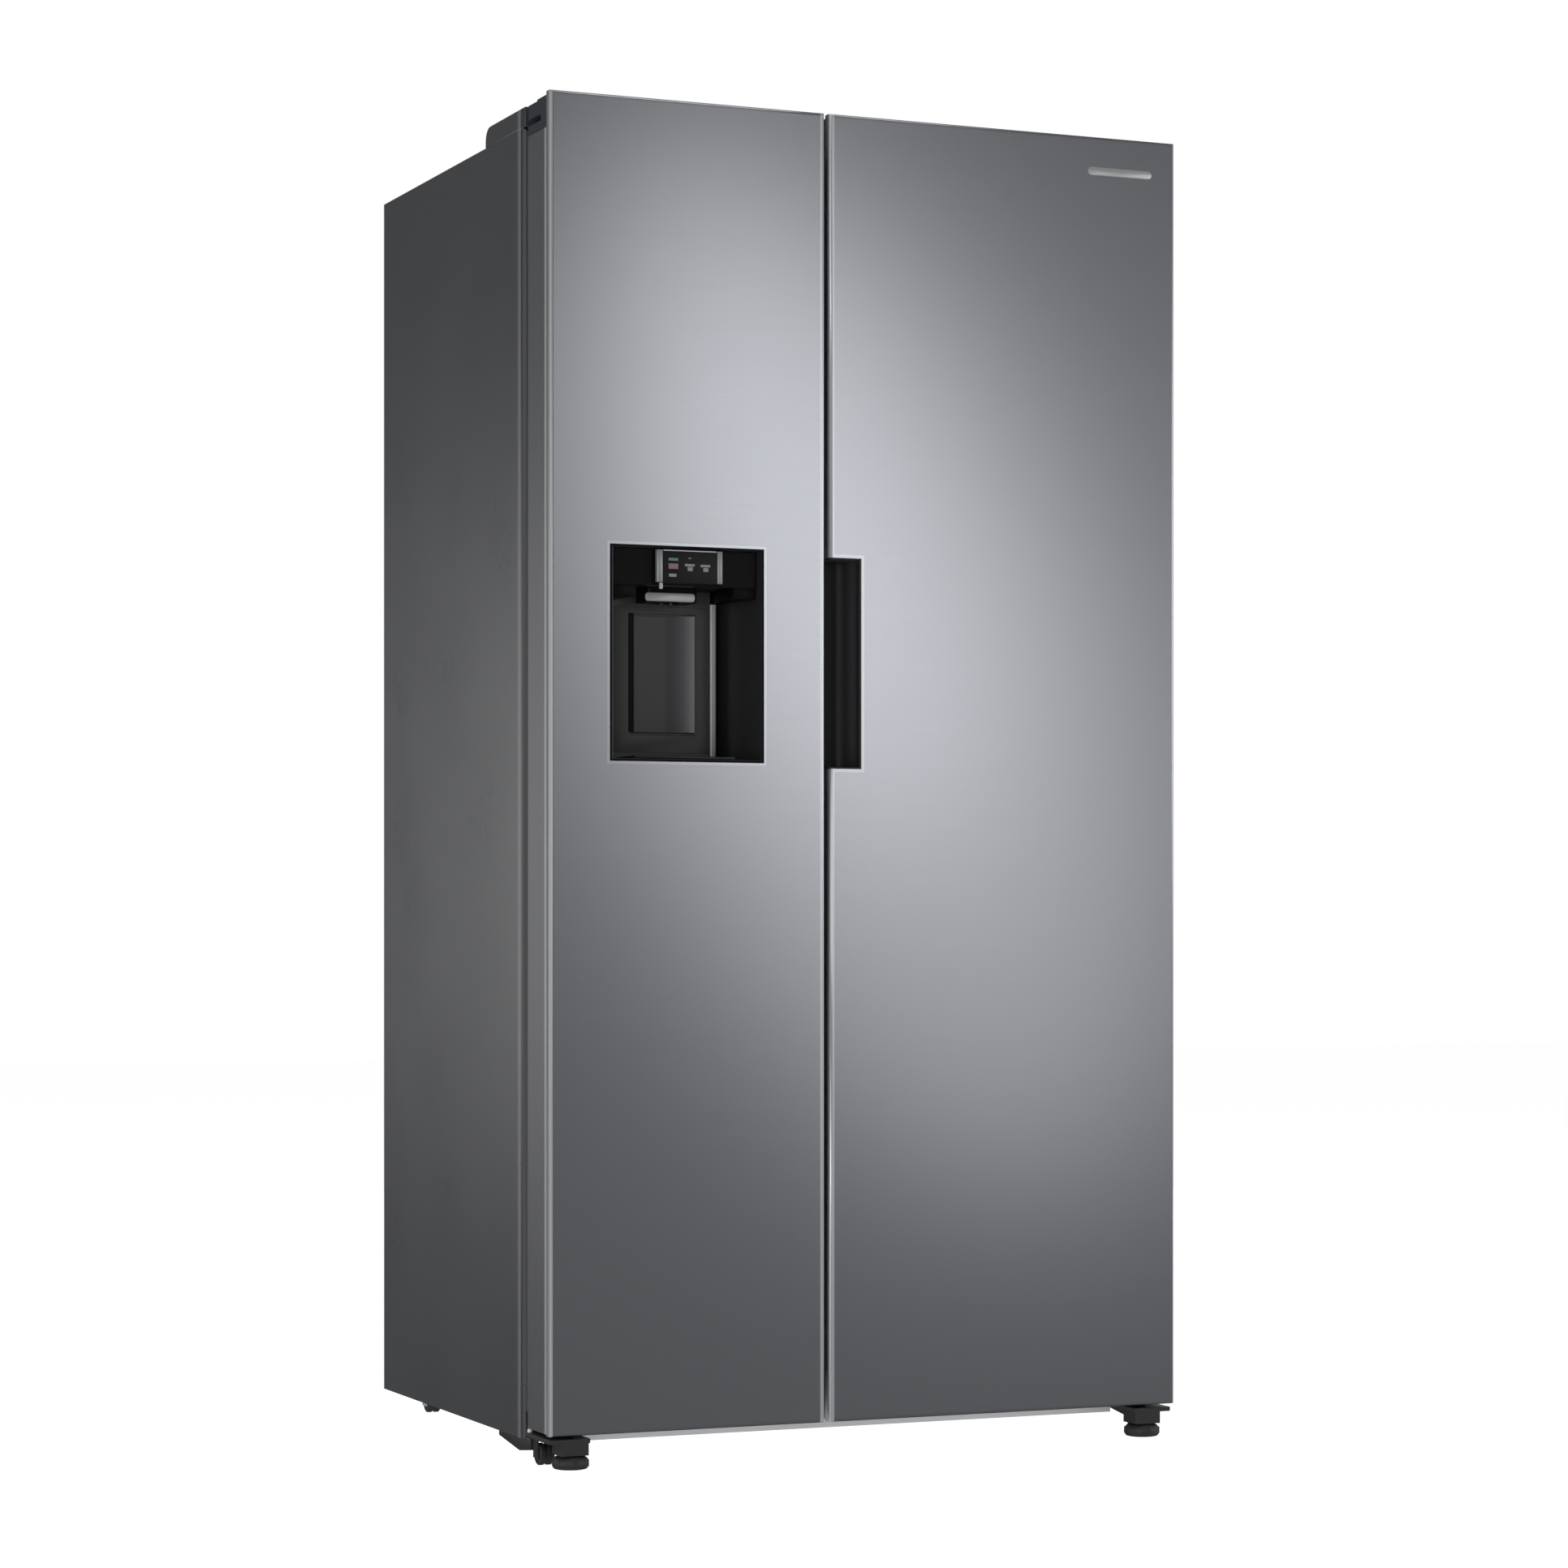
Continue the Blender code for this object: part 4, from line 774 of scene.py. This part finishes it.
topLine = softBlock((panelLo.x + 0.0106, panelLo.y + 0.0001, panelHi.z - 0.0022),
                    (panelHi.x - 0.0116, panelLo.y + 0.0030, panelHi.z - 0.0006), 0.0003, 1)
tail = softBlock((panelLo.x + 0.0052, panelLo.y + 0.0006, panelLo.z - 0.0078),
                 (panelLo.x + 0.0100, panelLo.y + 0.0040, panelLo.z + 0.0006), 0.0010, 2)
makePiece("controlPanelTrim", gather([topLine, tail]), "darkChrome", "freezer_door")

# generic marks on the panel
inkY = panelLo.y + 0.0004
inkMarks = {  # x, z, width, height
    "inkTeal": [(-0.2850, 1.1812, 0.0135, 0.0036)],
    "inkRed": [(-0.2850, 1.1722, 0.0135, 0.0070)],
    "inkWhite": [
        (-0.2860, 1.1604, 0.0105, 0.0040), (-0.2620, 1.1742, 0.0135, 0.0032),
        (-0.2615, 1.1692, 0.0070, 0.0050), (-0.2400, 1.1738, 0.0135, 0.0032),
        (-0.2395, 1.1688, 0.0070, 0.0050), (-0.2620, 1.1832, 0.0040, 0.0012),
    ],
}
for ink, places in inkMarks.items():
    marks = [
        softBlock((x - w / 2, inkY - 0.0002, z - h / 2), (x + w / 2, inkY + 0.0004, z + h / 2), 0.0001, 1)
        for x, z, w, h in places
    ]
    makePiece("panelMark" + ink[3:], gather(marks), ink, "freezer_door")

# drip tray: a frame with slats on the recess floor
trayShape = {
    "x": (-0.335, -0.195),
    "y": (-0.348, -0.274),
    "z": (0.9216, 0.9250),
    "rail": 0.006,
    "slats": 15,
    "slatHalf": 0.0016,
    "slatSunk": 0.0008,
}
(trayX0, trayX1), (trayY0, trayY1), (trayZ0, trayZ1) = trayShape["x"], trayShape["y"], trayShape["z"]
rail, slatHalf = trayShape["rail"], trayShape["slatHalf"]
innerY0, innerY1 = trayY0 + rail + 0.0001, trayY1 - rail - 0.0001
tray = [
    softBlock((trayX0, trayY0, trayZ0), (trayX1, trayY0 + rail, trayZ1), 0.0008),
    softBlock((trayX0, trayY1 - rail, trayZ0), (trayX1, trayY1, trayZ1), 0.0008),
    softBlock((trayX0, innerY0, trayZ0), (trayX0 + rail, innerY1, trayZ1), 0.0008),
    softBlock((trayX1 - rail, innerY0, trayZ0), (trayX1, innerY1, trayZ1), 0.0008),
]
pitch = (trayX1 - trayX0 - 2 * rail) / trayShape["slats"]
slatTop = trayZ1 - trayShape["slatSunk"]
for i in range(trayShape["slats"]):
    x = trayX0 + rail + pitch * (i + 0.5)
    tray.append(softBlock((x - slatHalf, innerY0, trayZ0), (x + slatHalf, innerY1, slatTop), 0.0005))
makePiece("dripTray", gather(tray), "blackSatin", "freezer_door")

softNode("handle_pocket", "pocketBlack", 0.0006, 3)
# flat strips of the lighter steel copy along the pocket's top, bottom and right edge: a painted highlight
pocketHighlightStrip = {"wide": 0.0042, "proud": 0.0001, "left": -0.0570}
stripY = (frontY - pocketHighlightStrip["proud"], frontY + 0.0006)
left, right = pocketHighlightStrip["left"], pocketHi.x + gap
bottom, top = pocketLo.z - gap, pocketHi.z + gap
outer = right + pocketHighlightStrip["wide"]
strips = gather([
    block((left, stripY[0], top), (outer, stripY[1], top + pocketHighlightStrip["wide"])),
    block((left, stripY[0], bottom - pocketHighlightStrip["wide"]), (outer, stripY[1], bottom)),
    block((right, stripY[0], bottom), (outer, stripY[1], top)),
])
makePiece("pocketEdge", strips, "rimSteel", "fridge_door", (), 20)
print("dispenser and finger pocket built")

# blank badge, barely proud of the door
badgeShape = {"x": (0.322, 0.420), "z": (1.7275, 1.7385), "proud": 0.0003}
badge = block((badgeShape["x"][0], frontY - badgeShape["proud"], badgeShape["z"][0]),
              (badgeShape["x"][1], frontY + 0.0004, badgeShape["z"][1]))
bevelEdges(badge, 0.0053, 6, lambda m, d: abs(d.y) > 0.9)
bevelEdges(badge, 0.0003, 2, lambda m, d: abs(m.y - frontY + badgeShape["proud"]) < 1e-5)
makePiece("frontBadge", badge, "lipSilver", "fridge_door")

# feet and rollers
footShape = {"radius": 0.024, "neck": 0.0085, "top": 0.0172, "ribs": 12}
studShape = {"from": 0.0176, "pitch": 0.00125, "threads": 20, "root": 0.0044, "crest": 0.0050}


def levellingFoot(side, x, y):
    node = "levelling_foot_" + side
    r = footShape["radius"]
    neck, top = footShape["neck"], footShape["top"]
    profile = [
        (0, 0), (r - 0.005, 0), (r - 0.0025, 0.0006), (r - 0.0008, 0.0025), (r, 0.006), (r, 0.0095),
        (r - 0.001, 0.0125), (r - 0.003, 0.0150), (r - 0.0065, 0.0168), (neck, top), (0, top),
    ]
    parts = [turned(profile, (x, y, 0), "z", 48)]
    for i in range(footShape["ribs"]):
        rib = softBlock((r - 0.0035, -0.0013, 0.0035), (r + 0.0004, 0.0013, 0.0125), 0.0005)
        spin = Matrix.Rotation(math.tau * i / footShape["ribs"], 3, "Z")
        bmesh.ops.rotate(rib, cent=(0, 0, 0), matrix=spin, verts=rib.verts)
        bmesh.ops.translate(rib, vec=(x, y, 0), verts=rib.verts)
        parts.append(rib)
    root, crest = studShape["root"], studShape["crest"]
    stud = [(0, 0.0171), (0.0046, 0.0171)]
    for i in range(studShape["threads"]):
        height = studShape["from"] + i * studShape["pitch"]
        stud += [(root, height), (crest, height + 0.0006)]
    stud += [(root, 0.0430), (0.0036, 0.0434), (0, 0.0434)]
    parts.append(turned(stud, (x, y, 0), "z", 24))
    makePiece(pieceName(node), gather(parts), "footBlack", node, (node,))


for side in ("left", "right"):
    lo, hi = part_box("levelling_foot_" + side)
    levellingFoot(side, (lo.x + hi.x) / 2, (lo.y + hi.y) / 2)

rollerShape = {"bore": 0.0034, "hub": 0.0075, "groove": 0.0012, "edge": 0.0012}


def roller(node):
    lo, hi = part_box(node)
    middle = (lo + hi) / 2
    r = (hi.z - lo.z) / 2
    half = (hi.x - lo.x) / 2
    bore, hub, cut, edge = (rollerShape[key] for key in ("bore", "hub", "groove", "edge"))
    profile = [
        (bore, -half), (hub, -half), (hub + 0.0006, -half + edge), (r - 0.0035, -half + edge),
        (r - 0.0028, -half), (r - edge, -half), (r, -half + edge), (r, -0.0026), (r - cut, -0.0018),
        (r - cut, 0.0018), (r, 0.0026), (r, half - edge), (r - edge, half), (r - 0.0028, half),
        (r - 0.0035, half - edge), (hub + 0.0006, half - edge), (hub, half), (bore, half), (bore, -half),
    ]
    makePiece(pieceName(node), turned(profile, middle, "x", 48), "footBlack", node, (node,))


for node in ("front_roller_left", "front_roller_right", "rear_roller_left", "rear_roller_right"):
    roller(node)
print("badge, feet and rollers built")


# screws: domed heads with a raised cross
screwShape = {"radius": 0.0042, "crossLong": 0.62, "crossHalf": 0.0005, "crossZ": (0.0019, 0.0030)}


def screwHead(spot):
    radius = screwShape["radius"]
    dome = [
        (0, 0), (radius, 0), (radius, 0.0008), (radius * 0.8, 0.0020), (radius * 0.4, 0.0026), (0, 0.0027),
    ]
    head = turned(dome, (0, 0, 0), "z", 20)
    reach, thin = radius * screwShape["crossLong"], screwShape["crossHalf"]
    low, high = screwShape["crossZ"]
    for angle in (0, math.pi / 2):
        bar = block((-reach, -thin, low), (reach, thin, high))
        bmesh.ops.rotate(bar, cent=(0, 0, 0), matrix=Matrix.Rotation(angle, 3, "Z"), verts=bar.verts)
        absorb(head, bar)
    bmesh.ops.transform(head, matrix=Matrix.Translation(spot) @ turns["y"], verts=head.verts)
    return head


skirtShape = {"x": (0.4492, 0.4540), "top": 0.0296, "step": -0.2545, "frontTop": 0.0337}
skirtLine = [(-0.2750, 0.0184), (-0.2317, 0.0130), (-0.1500, 0.0238)]  # y and z along its lower edge
plugShape = {
    "at": (0.4492, -0.2612, 0.0398),
    "dome": [(0, 0), (0.0034, 0), (0.0034, 0.0034), (0.0026, 0.0048), (0.0014, 0.0054), (0, 0.0056)],
}
plugs = []
for side, sign in (("Left", -1), ("Right", 1)):
    x0, x1 = (sign * x for x in skirtShape["x"])
    skirt = bmesh.new()
    step, frontTop = skirtShape["step"], skirtShape["frontTop"]
    outline = skirtLine + [(skirtLine[-1][0], skirtShape["top"]), (step, skirtShape["top"])]
    outline += [(step, frontTop), (skirtLine[0][0], frontTop)]
    face = skirt.faces.new([skirt.verts.new((x0, y, z)) for y, z in outline])
    moved = bmesh.ops.extrude_face_region(skirt, geom=[face], use_keep_orig=True)["geom"]
    bmesh.ops.translate(skirt, vec=(x1 - x0, 0, 0), verts=onlyVerts(moved))
    bmesh.ops.recalc_face_normals(skirt, faces=skirt.faces)
    bevelEdges(skirt, 0.0006, 2)
    makePiece("rollerSkirt" + side, skirt, "footBlack", "cabinet")
    plugX, plugY, plugZ = plugShape["at"]
    plugs.append(turned(plugShape["dome"], (sign * plugX, plugY, plugZ), "z", 20))
makePiece("hingePlugs", gather(plugs), "linerWhite", "cabinet")

# heads are sunk so that they stay inside the frame's box
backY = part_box("cabinet_back_panel")[1].y - 0.0026
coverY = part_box("machine_cover")[1].y - 0.0006
screwRows = (  # y, places across, heights
    (backY, (-0.44, -0.22, 0.0, 0.22, 0.44), (0.272, 1.735)),
    (backY, (-0.44, 0.44), (0.60, 0.95, 1.30)),
    (coverY, (-0.44, -0.05, 0.44), (0.045, 0.248)),
)
rearScrews = [screwHead((x, y, z)) for y, across, heights in screwRows for x in across for z in heights]
makePiece("rearScrews", gather(rearScrews), "screwZinc", "cabinet")
print("screws set")

# back, machine space, foam
for node in ("cabinet_back_panel", "machine_cover", "cabinet_base_pan"):
    dressNode(node, "galvanised")
for node in ("insulation_foam", "freezer_door_foam", "fridge_door_foam"):
    dressNode(node, "foamTan")
softNode("mains_inlet", "blackSatin", 0.0005, 2)
softNode("water_inlet", "linerWhite", 0.0004, 2)
softNode("compressor", "compressorBlack", 0)
softNode("condenser_coil", "copperTube", 0)
softNode("evaporator_coil", "aluminiumDrawn", 0)
softNode("condenser_fan", "blackSatin", 0)

# inside
for node in ("freezer_liner", "fridge_liner", "freezer_door_liner", "fridge_door_liner"):
    softNode(node, "linerWhite", 0.0006, 2)
softNode("freezer_duct_cover", "linerWhite", 0.0004, 1)
softNode("ice_maker", "linerWhite", 0.0006, 2)
softNode("ice_auger", "aluminiumDrawn", 0)
shelves = [node for node in frame["nodes"] if "shelf" in node]
doorBins = [node for node in frame["nodes"] if "door_bin" in node]
tubs = ("freezer_drawer_upper", "freezer_drawer_lower", "ice_bucket", "crisper_upper", "crisper_lower")
for node in shelves:
    dressNode(node, "shelfGlass")
for node in tubs:
    softNode(node, "clearTub", 0.0008, 2)
for node in doorBins:
    softNode(node, "clearTub", 0.0006, 2)

# drawn trim along each shelf's front, and a rail along each bin's rim
trimShape = {"inset": 0.004, "proud": 0.0006, "deep": 0.0088, "below": 0.0195, "above": 0.0004}
railShape = {"inset": 0.001, "proud": 0.0006, "deep": 0.0030, "below": 0.012}
for node in shelves:
    lo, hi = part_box(node)
    trim = block(
        (lo.x + trimShape["inset"], lo.y - trimShape["proud"], hi.z - trimShape["below"]),
        (hi.x - trimShape["inset"], lo.y + trimShape["deep"], hi.z + trimShape["above"]),
    )
    bevelEdges(trim, 0.0025, 4, lambda m, d: abs(d.x) > 0.9)
    room, _, level = node.split("_")
    name = room + "ShelfTrim" + level.capitalize()
    makePiece(name, trim, "aluminiumDrawn", nodeBody[node])
for node in doorBins:
    lo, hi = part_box(node)
    binRail = block(
        (lo.x + railShape["inset"], hi.y - railShape["deep"], hi.z - railShape["below"]),
        (hi.x - railShape["inset"], hi.y + railShape["proud"], hi.z + railShape["proud"]),
    )
    bevelEdges(binRail, 0.0010, 3)
    room, _, _, level = node.split("_")
    name = room + "BinRail" + level.capitalize()
    makePiece(name, binRail, "aluminiumDrawn", nodeBody[node])
print("inside dressed")

# lamps let into the liners' ceilings
lampShape = {"half": 0.08, "y": (-0.19, -0.15), "below": (0.0062, 0.0020)}
for name, node in (("freezerLamp", "freezer_liner"), ("fridgeLamp", "fridge_liner")):
    lo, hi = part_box(node)
    middle = (lo.x + hi.x) / 2
    lamp = softBlock(
        (middle - lampShape["half"], lampShape["y"][0], hi.z - lampShape["below"][0]),
        (middle + lampShape["half"], lampShape["y"][1], hi.z - lampShape["below"][1]), 0.002, 3,
    )
    makePiece(name, lamp, "lampDiffuser", "cabinet")

# floor, light and camera
floor = bmesh.new()
bmesh.ops.create_grid(floor, x_segments=1, y_segments=1, size=14.0)
floorMesh = bpy.data.meshes.new("floor")
floor.to_mesh(floorMesh)
floor.free()
floorFinish = Finish("floorPale", {"Roughness": 0.9, "Emission Strength": 0.88})
speck = floorFinish.noise(4.0, 2.0)
floorFinish.feed("Base Color", floorFinish.mix(speck, (0.90, 0.90, 0.90), (0.93, 0.93, 0.93)))
floorFinish.put(floorFinish.shader.inputs["Emission Color"], (1.0, 1.0, 1.0))
floorMesh.materials.append(floorFinish.material)
floorObject = bpy.data.objects.new("floor", floorMesh)
scene.collection.objects.link(floorObject)
floorObject.visible_glossy = False

studio = {"front": 0.15, "behind": 0.06, "backdrop": 1.0}
world = bpy.data.worlds.new("studio")
scene.world = world
world.use_nodes = True
tree = world.node_tree
sky = tree.nodes["Background"]
sky.inputs["Color"].default_value = (1.0, 1.0, 1.0, 1.0)
facing = tree.nodes.new("ShaderNodeTexCoord")
split = tree.nodes.new("ShaderNodeSeparateXYZ")
tree.links.new(facing.outputs["Generated"], split.inputs[0])
fade = tree.nodes.new("ShaderNodeMapRange")
fade.inputs["From Min"].default_value = -0.1
fade.inputs["From Max"].default_value = 0.6
fade.inputs["To Min"].default_value = studio["front"]
fade.inputs["To Max"].default_value = studio["behind"]
tree.links.new(split.outputs["Y"], fade.inputs["Value"])
path = tree.nodes.new("ShaderNodeLightPath")
pick = tree.nodes.new("ShaderNodeMix")
pick.inputs["B"].default_value = studio["backdrop"]
tree.links.new(path.outputs["Is Camera Ray"], pick.inputs["Factor"])
tree.links.new(fade.outputs[0], pick.inputs["A"])
tree.links.new(pick.outputs[0], sky.inputs["Strength"])

lamps = {  # spot, turn, width, height, radiance
    "keyTall": ((1.847, -4.90, 1.778), (math.pi / 2, -0.383, 0), 0.65, 1.98, 1.36),
    "keyWide": ((2.141, -4.90, 1.238), (math.pi / 2, -0.433, 0), 1.37, 2.65, 0.57),
    "fillLeft": ((-3.20, -4.50, 1.10), (math.pi / 2, 0, -0.62), 3.00, 4.50, 0.9),
    "fillNear": ((-2.30, -5.05, 1.00), (math.pi / 2, 0, -0.42), 0.90, 1.80, 2.4),
    "wallLeft": ((-5.00, 0.00, 1.10), (math.pi / 2, 0, -math.pi / 2), 7.00, 5.50, 0.60),
    "overhead": ((0.00, -1.60, 4.40), (0, 0, 0), 4.50, 3.50, 0.6),
    "wallRight": ((5.00, -0.90, 1.10), (math.pi / 2, 0, math.pi / 2), 5.50, 5.50, 0.55),
    "sideGlow": ((-2.80, 3.90, 0.92), (-math.pi / 2, 0, 0.52), 0.90, 1.90, 2.4),
    "fillRight": ((4.41, -3.11, 1.65), (math.pi / 2, 0, 1.012), 2.80, 2.40, 1.3),
    "wallBack": ((2.40, 4.40, 1.50), (-math.pi / 2, 0, -0.50), 2.80, 3.00, 1.0),
}
for name, (spot, turn, wide, tall, radiance) in lamps.items():
    light = bpy.data.lights.new(name, "AREA")
    light.shape = "ELLIPSE"
    light.size = wide
    light.size_y = tall
    light.energy = radiance * math.pi * wide * tall
    holder = bpy.data.objects.new(name, light)
    holder.location = spot
    holder.rotation_euler = turn
    holder.visible_camera = False
    scene.collection.objects.link(holder)

view = {"spot": (-2.182, -5.151, 0.712), "yaw": 0.4047, "lens": 90.77, "rise": 0.0862}
camera = bpy.data.cameras.new("camera")
camera.lens = view["lens"]
camera.sensor_width = 36.0
camera.shift_y = view["rise"]
camera.clip_end = 100.0
cameraObject = bpy.data.objects.new("camera", camera)
cameraObject.location = view["spot"]
cameraObject.rotation_euler = (math.pi / 2, 0.0, -view["yaw"])
scene.collection.objects.link(cameraObject)
scene.camera = cameraObject
scene.view_settings.view_transform = "Standard"
print("floor, light and camera placed")
